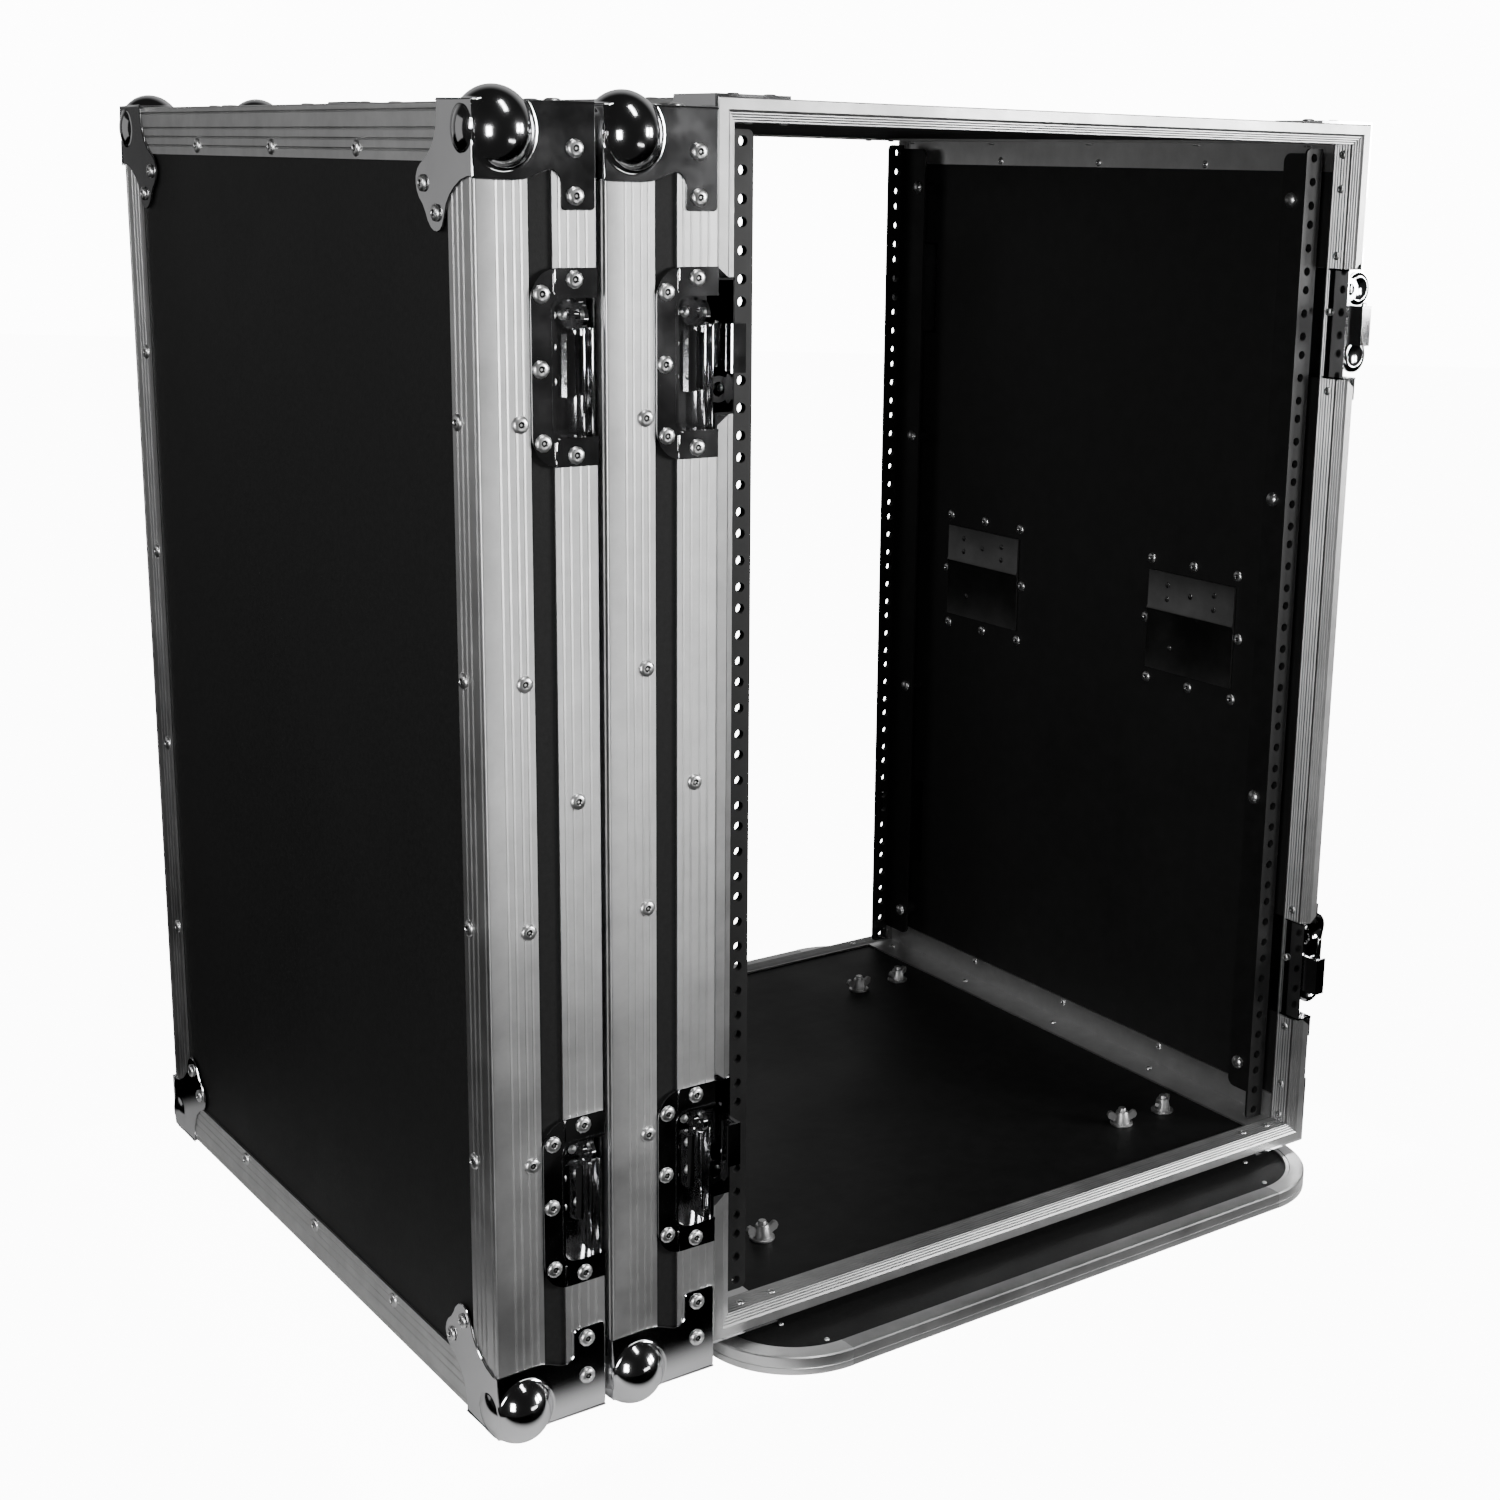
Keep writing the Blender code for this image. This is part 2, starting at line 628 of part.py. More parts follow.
def base_board():
    """Laminated board with the bolts, spacers and wing nuts that hold the case down on it."""
    half_x = BOARD_WIDTH / 2
    half_y = HALF_DEPTH + BOARD_OVERHANG
    top = BOARD_THICKNESS - SHEET - FIT
    core = rounded_corners(half_x - SKIN, half_y - SKIN, BOARD_CORNER - SKIN, 8)
    board = plate("base_board", core, 0.0, top, "XY")
    floor_top = CASE_BOTTOM + SKIN + PANEL
    for x, y in bolt_places():
        bolt = cylinder("bolt", BOLT_RADIUS, top / 2, floor_top + 0.013, "Z", (x, y, 0.0), 8)
        fuse(board, bolt)
        fuse(board, cylinder("spacer", 0.011, top / 2, CASE_BOTTOM + SKIN - FIT, "Z", (x, y, 0.0), 8))
        base = floor_top + FIT
        fuse(board, cylinder("washer", 0.0085, base, base + 0.0015, "Z", (x, y, 0.0), 8))
        fuse(board, cylinder("hub", 0.0062, base + 0.0010, base + 0.0100, "Z", (x, y, 0.0), 8, 0.0045))
        wings = [(-0.0030, 0.0020), (0.0030, 0.0020), (0.0100, 0.0070), (0.0085, 0.0102), (0.0, 0.0070)]
        wings += [(-0.0085, 0.0102), (-0.0100, 0.0070)]
        wings = [(x + a, base + b) for a, b in wings]
        fuse(board, plate("nut_wings", wings, y - 0.0014, y + 0.0014, "XZ"))
    place(board, black_board)


def board_edging():
    """Aluminium angle round the edge of the base board."""
    half_x = BOARD_WIDTH / 2
    half_y = HALF_DEPTH + BOARD_OVERHANG
    up = Vector((0, 0, 1))
    stations = []
    for first, sign_x, sign_y in ((0, 1, 1), (90, -1, 1), (180, -1, -1), (270, 1, -1)):
        centre = Vector((sign_x * (half_x - BOARD_CORNER), sign_y * (half_y - BOARD_CORNER), 0.0))
        for step in range(9):
            angle = math.radians(first + 90 * step / 8)
            outward = Vector((math.cos(angle), math.sin(angle), 0.0))
            stations.append((centre + outward * BOARD_CORNER, -outward, up))
    top = BOARD_THICKNESS
    profile = [(0, 0), (0, top), (BOARD_TRIM, top), (BOARD_TRIM, top - SHEET), (SHEET, top - SHEET), (SHEET, 0)]
    place(lofted_ring("board_edging", stations, profile, smooth=True), aluminium)


# ---------------------------------------------------------------- lids


def lid_shell(number, origin):
    """Face panel and four walls of a lid, open at its mating edge."""
    half_y = CASE_WIDTH / 2 - SKIN
    half_z = HALF_HEIGHT - SKIN
    rim = -FRAME_WEB - FIT
    back = -LID_DEPTH + SKIN
    shell = box("lid_%d_shell" % number, (back, -half_y, -half_z), (rim, half_y, half_z))
    cut(shell, box("hollow", (back + PANEL, -half_y + PANEL, -half_z + PANEL),
                   (0.01, half_y - PANEL, half_z - PANEL)))
    height = RECESS_HALF_HEIGHT + PLATE + FIT
    reach = KEEPER_RECESS_END + PLATE + FIT
    slots = []
    for level in LEVELS.values():
        middle = level * LATCH_SPREAD
        slots.append(box("slot", (-reach, -0.4, middle - height), (0.01, 0.4, middle + height)))
    cut(shell, merged("slots", slots))
    place(shell, black_board, origin)


def lid_face_trim(number, origin):
    """Mitred angle round the four edges of a lid's face."""
    centre = Vector((-LID_DEPTH, 0.0, 0.0))
    stations = mitred_stations(CASE_WIDTH / 2, HALF_HEIGHT, centre, Vector((0, 1, 0)), Vector((1, 0, 0)))
    profile = [(0, 0), (EDGE_LEG, 0), (EDGE_LEG, SHEET), (SHEET, SHEET), (SHEET, EDGE_LEG), (0, EDGE_LEG)]
    place(lofted_ring("lid_%d_face_trim" % number, stations, profile), aluminium, origin)


def keeper():
    """Lid half of a latch, in the latch's own axes: plate, pocket, catch walls and padlock ring."""
    piece = plate("keeper", rounded_plate_outline(KEEPER_PLATE_END, KEEPER_RECESS_END), -0.0002, PLATE_TOP, "YZ")
    fuse(piece, recess_tray("tray", 0.0005, KEEPER_RECESS_END, 0.0010))
    floor = RECESS_FLOOR - 0.0003
    fuse(piece, box("catch", (floor, 0.0060, -0.0370), (-0.0030, 0.0076, 0.0180)))
    fuse(piece, box("channel", (floor, 0.0105, -0.0160), (-0.0060, 0.0160, 0.0175)))
    fuse(piece, box("ring_foot", (floor, 0.0080, -0.0330), (RECESS_FLOOR + 0.0012, 0.0250, -0.0210)))
    ring = [(floor, -0.0340)] + arc((-0.0040, -0.0270), 0.0062, -80, 80, 6) + [(floor, -0.0200)]
    fuse(piece, plate("ring", ring, 0.0085, 0.0100, "XZ"))
    cut(piece, cylinder("ring_hole", 0.0033, 0.0070, 0.0115, "Y", (-0.0040, 0.0, -0.0270), 8))
    return piece


def lid_frame(number, origin):
    """Mating extrusion of a lid, with its four latch keepers riveted on."""
    stations = mitred_stations(CASE_WIDTH / 2, HALF_HEIGHT, Vector((0, 0, 0)), Vector((0, 1, 0)), Vector((-1, 0, 0)))
    inner = WALL - SHEET
    profile = [
        (0.0, 0.0),
        (WALL, 0.0),
        (WALL, LID_INNER_LEG),
        (inner, LID_INNER_LEG),
        (inner, FRAME_WEB),
        (SHEET, FRAME_WEB),
        (SHEET, FRAME_OUTER_LEG),
        (0.0, FRAME_OUTER_LEG),
    ]
    frame = lofted_ring("lid_%d_frame" % number, stations, profile)
    height = RECESS_HALF_HEIGHT + PLATE / 2
    strip = 0.0015
    half = CASE_WIDTH / 2
    for side in (-1, 1):
        for level in LEVELS.values():
            middle = level * LATCH_SPREAD
            through = sorted((side * (half + 0.002), side * (half - WALL + 0.001)))
            cut(frame, box("notch", (-0.030, through[0], middle - height), (0.002, through[1], middle + height)))
            across = sorted((side * (half - WALL + 0.002), side * (half - WALL - 0.002)))
            cut(frame, box("notch", (-LID_INNER_LEG + strip, across[0], middle - height),
                           (0.002, across[1], middle + height)))
    for side in (-1, 1):
        for level in LEVELS.values():
            piece = keeper()
            outward = Vector((0, side, 0))
            away = Vector((-1, 0, 0))
            turn = Matrix((outward, away, outward.cross(away))).transposed().to_4x4()
            where = Matrix.Translation((0, side * half, level * LATCH_SPREAD)) @ turn
            piece.matrix_world = where
            move_tools(piece, where)
            fuse(frame, piece)
    place(frame, aluminium, origin)


def lid_corner(number, origin, end, level):
    """Pressed steel ball corner with its three riveted legs."""
    sign_y = ENDS[end]
    sign_z = 1 if level == "top" else -1
    half_y = CASE_WIDTH / 2
    centre = Vector((
        -LID_DEPTH - BALL_PROUD_FACE + BALL_RADIUS,
        sign_y * (half_y + BALL_PROUD_SIDE - BALL_RADIUS),
        sign_z * (HALF_HEIGHT + BALL_PROUD_SIDE - BALL_RADIUS),
    ))
    corner = ball("lid_%d_corner_%s_%s" % (number, level, end), BALL_RADIUS, centre)
    inner = Vector((0.2, half_y + FIT, HALF_HEIGHT + FIT))
    cut(corner, box("lid_envelope", (-LID_DEPTH - FIT, -inner.y, -inner.z), inner))
    # Distances below are from the lid's corner: d towards the mating edge, a along the side, b down from the top
    strap = [(-CORNER_TOP, -CORNER_TOP), (0.0690, -CORNER_TOP), (0.0690, 0.0505), (0.0665, 0.0533)]
    strap += [(0.0510, 0.0533), (0.0488, 0.0510), (0.0488, 0.0370), (0.0450, 0.0327), (0.0375, 0.0365)]
    strap += [(0.0295, 0.0385), (-CORNER_TOP, 0.0385)]
    upright = [(-LID_DEPTH + d, sign_z * (HALF_HEIGHT - b)) for d, b in strap]
    ys = sorted((sign_y * (half_y + FIT), sign_y * (half_y + CORNER_TOP)))
    fuse(corner, plate("upright_leg", upright, ys[0], ys[1], "XZ"))
    flat = [(-LID_DEPTH + d, sign_y * (half_y - a)) for d, a in strap]
    zs = sorted((sign_z * (HALF_HEIGHT + FIT), sign_z * (HALF_HEIGHT + CORNER_TOP)))
    fuse(corner, plate("flat_leg", flat, zs[0], zs[1], "XY"))
    leaf = [(-CORNER_TOP, -CORNER_TOP), (0.0397, -CORNER_TOP), (0.0401, 0.0134), (0.0492, 0.0254), (0.0629, 0.0338)]
    leaf += [(0.0649, 0.0407), (0.0616, 0.0491), (0.0554, 0.0544), (0.0520, 0.0597), (0.0477, 0.0642)]
    leaf += [(0.0407, 0.0659), (0.0345, 0.0631), (0.0290, 0.0509), (0.0202, 0.0433), (0.0125, 0.0381)]
    leaf += [(-CORNER_TOP, 0.0366)]
    leaf = [(sign_y * (half_y - a), sign_z * (HALF_HEIGHT - b)) for a, b in leaf]
    fuse(corner, plate("face_leg", leaf, -LID_DEPTH - CORNER_TOP, -LID_DEPTH - FIT, "YZ"))
    place(corner, chrome, origin)


def lid(number, origin_x):
    origin = Vector((origin_x, LID_Y, LID_MIDDLE))
    lid_shell(number, origin)
    lid_face_trim(number, origin)
    lid_frame(number, origin)
    for end in ENDS:
        for level in ("top", "bottom"):
            lid_corner(number, origin, end, level)


# ---------------------------------------------------------------- assembly

clear_scene()
parts = make_collection("equipment_rack_case")
cutters = make_collection("cutters", hidden=True)

black_board = make_material("black_laminate", (0.025, 0.025, 0.026), 0.45, 0.0)
aluminium = make_material("ribbed_aluminium", (0.62, 0.62, 0.63), 0.38, 1.0)
chrome = make_material("chromed_steel", (0.72, 0.72, 0.73), 0.12, 1.0)
black_steel = make_material("black_steel", (0.020, 0.020, 0.021), 0.45, 0.6)
black_rubber = make_material("black_rubber", (0.030, 0.030, 0.030), 0.70, 0.0)

for side_name in SIDES:
    side_panel(side_name)
flat_panel("top_panel", CASE_TOP - SKIN - PANEL)
flat_panel("floor_panel", CASE_BOTTOM + SKIN)
for end_name in ENDS:
    case_frame(end_name)
    for side_name in SIDES:
        rack_rail(end_name, side_name)
for level_name in ("top", "bottom"):
    for side_name in SIDES:
        edge_angle(level_name, side_name)
        inner_angle(level_name, side_name)
for end_name in ENDS:
    for side_name in SIDES:
        for level_name in LEVELS:
            latch_dish(side_name, end_name, level_name)
            latch_wing(side_name, end_name, level_name)
for side_name in SIDES:
    for end_name, y_place in zip(ENDS, HANDLE_PLACES):
        handle_dish(side_name, end_name, y_place)
        handle_grip(side_name, end_name, y_place)
base_board()
board_edging()
lid(1, LID_1_X)
lid(2, LID_2_X)
bpy.context.view_layer.update()
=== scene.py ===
import math
import random
import bpy
import bmesh
from mathutils import Matrix, Vector


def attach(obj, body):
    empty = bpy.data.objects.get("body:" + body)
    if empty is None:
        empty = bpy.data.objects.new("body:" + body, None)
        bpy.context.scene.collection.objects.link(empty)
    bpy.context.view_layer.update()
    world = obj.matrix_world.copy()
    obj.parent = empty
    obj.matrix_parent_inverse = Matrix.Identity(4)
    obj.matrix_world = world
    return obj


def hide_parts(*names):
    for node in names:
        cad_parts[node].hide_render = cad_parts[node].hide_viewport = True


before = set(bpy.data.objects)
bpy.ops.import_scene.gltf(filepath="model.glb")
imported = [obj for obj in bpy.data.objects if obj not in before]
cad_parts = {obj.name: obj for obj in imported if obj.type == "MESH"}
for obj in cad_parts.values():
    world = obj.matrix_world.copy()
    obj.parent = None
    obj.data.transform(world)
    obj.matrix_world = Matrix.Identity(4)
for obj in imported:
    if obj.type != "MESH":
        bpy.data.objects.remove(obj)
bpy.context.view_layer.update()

scene = bpy.context.scene
view = bpy.context.view_layer
xAxis, yAxis, zAxis = Vector((1, 0, 0)), Vector((0, 1, 0)), Vector((0, 0, 1))

signs = {"left": -1, "right": 1, "bottom": -1, "top": 1, "lower": -1, "upper": 1, "front": -1, "rear": 1}

# lengths below are millimetres, meshes are scaled to metres as they are written
case = {
    "halfWidth": 263.0,
    "halfDepth": 260.5,
    "halfHeight": 372.0,
    "middle": 390.0,          # height of the case's centre
    "wall": 13.0,
    "latchSpread": 237.5,
    "recessHalf": 36.5,
}
lids = {
    "depth": 70.0,
    "mating": {1: -345.0, 2: -269.5},   # x of each mating edge
    "y": -7.5,
    "z": 382.5,
    "halfWidth": 263.0,
    "halfHeight": 372.0,
}


def addNode(tree, kind, settings=None, **inputs):
    node = tree.nodes.new(kind)
    for key, value in (settings or {}).items():
        setattr(node, key, value)
    for key, value in inputs.items():
        socket = node.inputs[int(key[1:])] if key[0] == "i" and key[1:].isdigit() else node.inputs[key]
        if isinstance(value, bpy.types.NodeSocket):
            tree.links.new(value, socket)
        else:
            socket.default_value = value
    return node


def makeGroup(name, wanted):
    group = bpy.data.node_groups.new(name, "ShaderNodeTree")
    for label, kind, inOut, value in wanted:
        socket = group.interface.new_socket(label, in_out=inOut, socket_type=kind)
        if value is not None:
            socket.default_value = value
    start = group.nodes.new("NodeGroupInput")
    end = group.nodes.new("NodeGroupOutput")
    return group, start, end


def makeGrainGroup():
    group, start, end = makeGroup("fineGrain", [
        ("Vector", "NodeSocketVector", "INPUT", None),
        ("Scale", "NodeSocketFloat", "INPUT", 900.0),
        ("Stretch", "NodeSocketVector", "INPUT", (1.0, 1.0, 1.0)),
        ("Height", "NodeSocketFloat", "OUTPUT", None),
    ])
    stretched = addNode(group, "ShaderNodeVectorMath", {"operation": "MULTIPLY"},
                        i0=start.outputs["Vector"], i1=start.outputs["Stretch"])
    noise = addNode(group, "ShaderNodeTexNoise", Vector=stretched.outputs[0], Scale=start.outputs["Scale"],
                    Detail=3.0, Roughness=0.6)
    group.links.new(noise.outputs["Fac"], end.inputs["Height"])
    return group


def makeWearGroup():
    group, start, end = makeGroup("handlingWear", [
        ("Vector", "NodeSocketVector", "INPUT", None),
        ("Scale", "NodeSocketFloat", "INPUT", 9.0),
        ("Low", "NodeSocketFloat", "INPUT", 0.0),
        ("High", "NodeSocketFloat", "INPUT", 1.0),
        ("Value", "NodeSocketFloat", "OUTPUT", None),
    ])
    broad = addNode(group, "ShaderNodeTexNoise", Vector=start.outputs["Vector"], Scale=start.outputs["Scale"],
                    Detail=6.0, Roughness=0.62)
    ranged = addNode(group, "ShaderNodeMapRange", i0=broad.outputs["Fac"], i1=0.3, i2=0.7,
                     i3=start.outputs["Low"], i4=start.outputs["High"])
    group.links.new(ranged.outputs[0], end.inputs["Value"])
    return group


grainGroup = makeGrainGroup()
wearGroup = makeWearGroup()


def useGroup(tree, group, **inputs):
    return addNode(tree, "ShaderNodeGroup", {"node_tree": group}, **inputs)


def mixColours(tree, factor, first, second):
    mix = addNode(tree, "ShaderNodeMix", {"data_type": "RGBA"}, Factor=factor, A=first, B=second)
    return mix.outputs["Result"]


commonLook = {
    "metallic": 1.0,
    "specular": 0.5,
    "wearScale": 14.0,
    "tintScale": 60.0,
    "grain": 1400.0,
    "stretch": (1.0, 1.0, 1.0),
    "bump": 0.10,
    "bumpDepth": 0.0002,
    "core": False,          # painted shade: a near black ring for the hole round a rivet's stem
}


def makeMaterial(name, look):
    look = {**commonLook, **look}
    material = bpy.data.materials.new(name)
    material.use_nodes = True
    tree = material.node_tree
    shader = tree.nodes["Principled BSDF"]
    where = addNode(tree, "ShaderNodeTexCoord").outputs["Object"]
    shader.inputs["Metallic"].default_value = look["metallic"]
    shader.inputs["Specular IOR Level"].default_value = look["specular"]
    rough = useGroup(tree, wearGroup, Vector=where, Scale=look["wearScale"],
                     Low=look["rough"][0], High=look["rough"][1])
    tree.links.new(rough.outputs[0], shader.inputs["Roughness"])
    tint = useGroup(tree, wearGroup, Vector=where, Scale=look["tintScale"], Low=0.0, High=1.0)
    dark, light = ((*tone, 1.0) if isinstance(tone, tuple) else (tone, tone, tone, 1.0)
                   for tone in (look["dark"], look["light"]))
    colour = mixColours(tree, tint.outputs[0], dark, light)
    if look["core"]:
        # painted shade: the rivet's hole is coloured near black through a vertex attribute
        core = addNode(tree, "ShaderNodeAttribute", {"attribute_name": "core"})
        colour = mixColours(tree, core.outputs["Fac"], colour, (0.012, 0.012, 0.012, 1.0))
    tree.links.new(colour, shader.inputs["Base Color"])
    grain = useGroup(tree, grainGroup, Vector=where, Scale=look["grain"], Stretch=look["stretch"])
    bump = addNode(tree, "ShaderNodeBump", Strength=look["bump"], Distance=look["bumpDepth"],
                   Height=grain.outputs[0])
    tree.links.new(bump.outputs[0], shader.inputs["Normal"])
    return material


# one number for dark or light is a grey
looks = {
    "ribbedAluminium": {"dark": 0.62, "light": 0.74, "rough": (0.34, 0.46)},
    "frameAluminium": {"dark": 0.40, "light": 0.50, "rough": (0.34, 0.46)},
    "edgingAluminium": {"dark": 0.42, "light": 0.52, "rough": (0.36, 0.48)},
    "cornerAluminium": {"dark": 0.74, "light": 0.84, "rough": (0.30, 0.40), "wearScale": 20.0, "bump": 0.08},
    "chromedSteel": {"dark": (0.66, 0.66, 0.67), "light": (0.76, 0.76, 0.77), "rough": (0.06, 0.14),
                     "wearScale": 30.0, "tintScale": 12.0, "grain": 240.0, "bump": 0.03},
    "rivetSteel": {"dark": 0.80, "light": 0.94, "rough": (0.26, 0.40), "wearScale": 120.0,
                   "tintScale": 200.0, "grain": 900.0, "bump": 0.06, "core": True},
    "lidLaminate": {"metallic": 0.0, "dark": 0.0095, "light": 0.0145, "rough": (0.46, 0.60),
                    "specular": 0.16, "wearScale": 5.0, "tintScale": 320.0, "grain": 950.0, "bump": 0.35},
    "caseLaminate": {"metallic": 0.0, "dark": 0.0030, "light": 0.0062, "rough": (0.50, 0.66),
                     "wearScale": 6.0, "tintScale": 90.0, "grain": 260.0, "bump": 0.30,
                     "stretch": (1.0, 1.0, 0.06)},
    "floorLaminate": {"metallic": 0.0, "dark": 0.0040, "light": 0.0080, "rough": (0.48, 0.62),
                      "specular": 0.2, "wearScale": 6.0, "tintScale": 90.0, "grain": 260.0, "bump": 0.30,
                      "stretch": (0.08, 1.0, 1.0)},
    "railSteel": {"metallic": 0.0, "dark": 0.006, "light": 0.011, "rough": (0.40, 0.54), "specular": 0.34,
                  "wearScale": 25.0, "tintScale": 80.0, "grain": 700.0, "bump": 0.12},
    "gripRubber": {"metallic": 0.0, "dark": 0.012, "light": 0.022, "rough": (0.62, 0.78),
                   "wearScale": 40.0, "tintScale": 120.0, "grain": 600.0, "bump": 0.35},
    "dishSteel": {"dark": 0.16, "light": 0.24, "rough": (0.28, 0.42), "wearScale": 18.0,
                  "tintScale": 22.0, "grain": 500.0},
}
materials = {name: makeMaterial(name, look) for name, look in looks.items()}
print("materials ready:", len(materials))


def finishMesh(name, work, material, smooth=35.0):
    bmesh.ops.scale(work, vec=(0.001, 0.001, 0.001), verts=work.verts)
    bmesh.ops.recalc_face_normals(work, faces=work.faces)
    mesh = bpy.data.meshes.new(name)
    work.to_mesh(mesh)
    work.free()
    mesh.materials.append(materials[material])
    obj = bpy.data.objects.new(name, mesh)
    scene.collection.objects.link(obj)
    softenEdges(obj, smooth)
    return obj


def softenEdges(obj, angle):
    obj.data.shade_smooth()
    obj.data.set_sharp_from_angle(angle=math.radians(angle))


def addBox(work, first, second, bevel=0.0):
    # first and second are opposite corners
    low, high = (Vector([pick(pair) for pair in zip(first, second)]) for pick in (min, max))
    made = bmesh.ops.create_cube(work, size=1.0)["verts"]
    bmesh.ops.scale(work, vec=high - low, verts=made)
    bmesh.ops.translate(work, vec=(high + low) / 2, verts=made)
    if bevel:
        edges = list(dict.fromkeys(edge for vert in made for edge in vert.link_edges))
        made = bmesh.ops.bevel(work, geom=edges, offset=bevel, segments=2, affect="EDGES",
                               profile=0.5)["verts"]
    return made


def addPlacedBox(work, first, second, bevel, place):
    # bevelled box in the axes of a place function
    for vert in addBox(work, first, second, bevel):
        vert.co = place(*vert.co)


def skin(work, rows, closed=True):
    # quads between neighbouring rows, each row a loop of points
    for row, after in zip(rows, rows[1:] + (rows[:1] if closed else [])):
        for i in range(len(row)):
            j = (i + 1) % len(row)
            work.faces.new((row[i], after[i], after[j], row[j]))


def addPrism(work, outline, start, end, place):
    # place turns (a, b, c) into a point, c runs from start to end
    rows = [[work.verts.new(place(a, b, c)) for a, b in outline] for c in (start, end)]
    work.faces.new(rows[0])
    work.faces.new(rows[1][::-1])
    skin(work, rows, False)


def addTurned(work, profile, sides, place):
    # profile is (radius, height) pairs, closed at the ends by a point of radius 0
    rows = []
    for radius, height in profile:
        if radius == 0:
            rows.append([work.verts.new(place(0, 0, height))])
        else:
            rows.append([work.verts.new(place(radius * math.cos(2 * math.pi * i / sides),
                                              radius * math.sin(2 * math.pi * i / sides), height))
                         for i in range(sides)])
    for a, b in zip(rows, rows[1:]):
        for i in range(sides):
            j = (i + 1) % sides
            if len(a) == 1:
                work.faces.new((a[0], b[i], b[j]))
            elif len(b) == 1:
                work.faces.new((a[i], b[0], a[j]))
            else:
                work.faces.new((a[i], b[i], b[j], a[j]))
    return [vert for row in rows for vert in row]


def addRing(work, stations, profile, closed=True):
    # sweeps the profile along stations of (point, inward, along)
    rows = [[work.verts.new(point + inward * u + along * v) for u, v in profile]
            for point, inward, along in stations]
    skin(work, rows, closed)
    if not closed:
        work.faces.new(rows[0])
        work.faces.new(rows[-1][::-1])


def arc(centre, radius, first, last, steps):
    points = []
    for i in range(steps + 1):
        angle = math.radians(first + (last - first) * i / steps)
        points.append((centre[0] + radius * math.cos(angle), centre[1] + radius * math.sin(angle)))
    return points


def roundedRectangle(halfA, halfB, radius, steps=5):
    points = []
    for first, a, b in ((0, 1, 1), (90, -1, 1), (180, -1, -1), (270, 1, -1)):
        points += arc((a * (halfA - radius), b * (halfB - radius)), radius, first, first + 90, steps)
    return points


def roundedEnd(end, half, radius, steps):
    # far side of a plate, with its two rounded corners
    return (arc((end - radius, half - radius), radius, 90, 0, steps)
            + arc((end - radius, radius - half), radius, 0, -90, steps))


def addWall(work, inner, outer, low, high, place, closed=True):
    # wall between two outlines with the same number of points
    rows = [[work.verts.new(place(height, a, b)) for a, b in line]
            for line, height in ((inner, high), (outer, high), (outer, low), (inner, low))]
    count = len(inner)
    for row, after in zip(rows, rows[1:] + rows[:1]):
        for i in range(count if closed else count - 1):
            j = (i + 1) % count
            work.faces.new((row[i], row[j], after[j], after[i]))
    if not closed:
        work.faces.new([row[0] for row in rows])
        work.faces.new([row[-1] for row in rows])


def grooved(start, end, marks, into, depth=0.55, half=0.85):
    # points from start to end with a narrow groove at each mark
    start, end, into = Vector(start), Vector(end), Vector(into)
    along = (end - start).normalized()
    points = [start]
    for mark in marks:
        for step, sunk in ((-half, 0), (0, depth), (half, 0)):
            points.append(start + along * (mark + step) + into * sunk)
    return [tuple(point) for point in points]


def rectangleStations(halfA, halfB, centre, axis, along):
    stations = []
    for a, b in ((1, 1), (-1, 1), (-1, -1), (1, -1)):
        stations.append((centre + axis * a * halfA + zAxis * b * halfB, -axis * a - zAxis * b, along))
    return stations


def insetOutline(outline, amount):
    count = len(outline)
    area = sum(outline[i][0] * outline[(i + 1) % count][1] - outline[(i + 1) % count][0] * outline[i][1]
               for i in range(count))
    sign = 1 if area > 0 else -1
    points = []
    for i in range(count):
        before, here, after = (Vector(outline[(i + k) % count]) for k in (-1, 0, 1))
        first, second = (here - before).normalized(), (after - here).normalized()
        normal = Vector((-(first.y + second.y), first.x + second.x)) * sign
        if normal.length < 1e-6:
            normal = Vector((-first.y, first.x)) * sign
        points.append(tuple(here + normal.normalized() * amount))
    return points


def addSlab(work, outline, low, high, place, soft=0.45):
    # prism whose outer edge is softened
    rows = [[work.verts.new(place(a, b, height)) for a, b in line]
            for line, height in ((outline, low), (outline, high - soft), (insetOutline(outline, soft), high))]
    skin(work, rows, False)
    work.faces.new(rows[0][::-1])
    work.faces.new(rows[-1])


def carve(obj, tools):
    # cuts the tools out of obj for good
    for tool in tools:
        modifier = obj.modifiers.new("cut", "BOOLEAN")
        modifier.operation = "DIFFERENCE"
        modifier.solver = "EXACT"
        modifier.object = tool
    view.update()
    mesh = bpy.data.meshes.new_from_object(obj.evaluated_get(bpy.context.evaluated_depsgraph_get()))
    obj.modifiers.clear()
    old = obj.data
    mesh.name = old.name
    obj.data = mesh
    bpy.data.meshes.remove(old)
    for tool in tools:
        bpy.data.objects.remove(tool)
    softenEdges(obj, 35.0)


def reopen(obj):
    # takes a finished mesh back into millimetres
    work = bmesh.new()
    work.from_mesh(obj.data)
    bmesh.ops.scale(work, vec=(1000, 1000, 1000), verts=work.verts)
    bpy.data.objects.remove(obj)
    return work


def makeTool(add, *values):
    # a shape to cut away, made by one of the add functions
    work = bmesh.new()
    add(work, *values)
    return finishMesh("tool", work, "ribbedAluminium")


def ready(obj, body, *nodes, slot):
    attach(obj, body)
    if nodes:
        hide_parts(*nodes)


def paint(node, material):
    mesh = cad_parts[node].data
    for i in range(len(mesh.materials)):
        mesh.materials[i] = materials[material]
    if not mesh.materials:
        mesh.materials.append(materials[material])


for node in ("left_panel", "right_panel", "top_panel"):
    paint(node, "caseLaminate")
paint("floor_panel", "floorLaminate")
for number in (1, 2):
    paint("lid_%d_shell" % number, "lidLaminate")
for level in ("top", "bottom"):
    for side in ("left", "right"):
        paint("inner_angle_%s_%s" % (level, side), "ribbedAluminium")
print("panels painted")


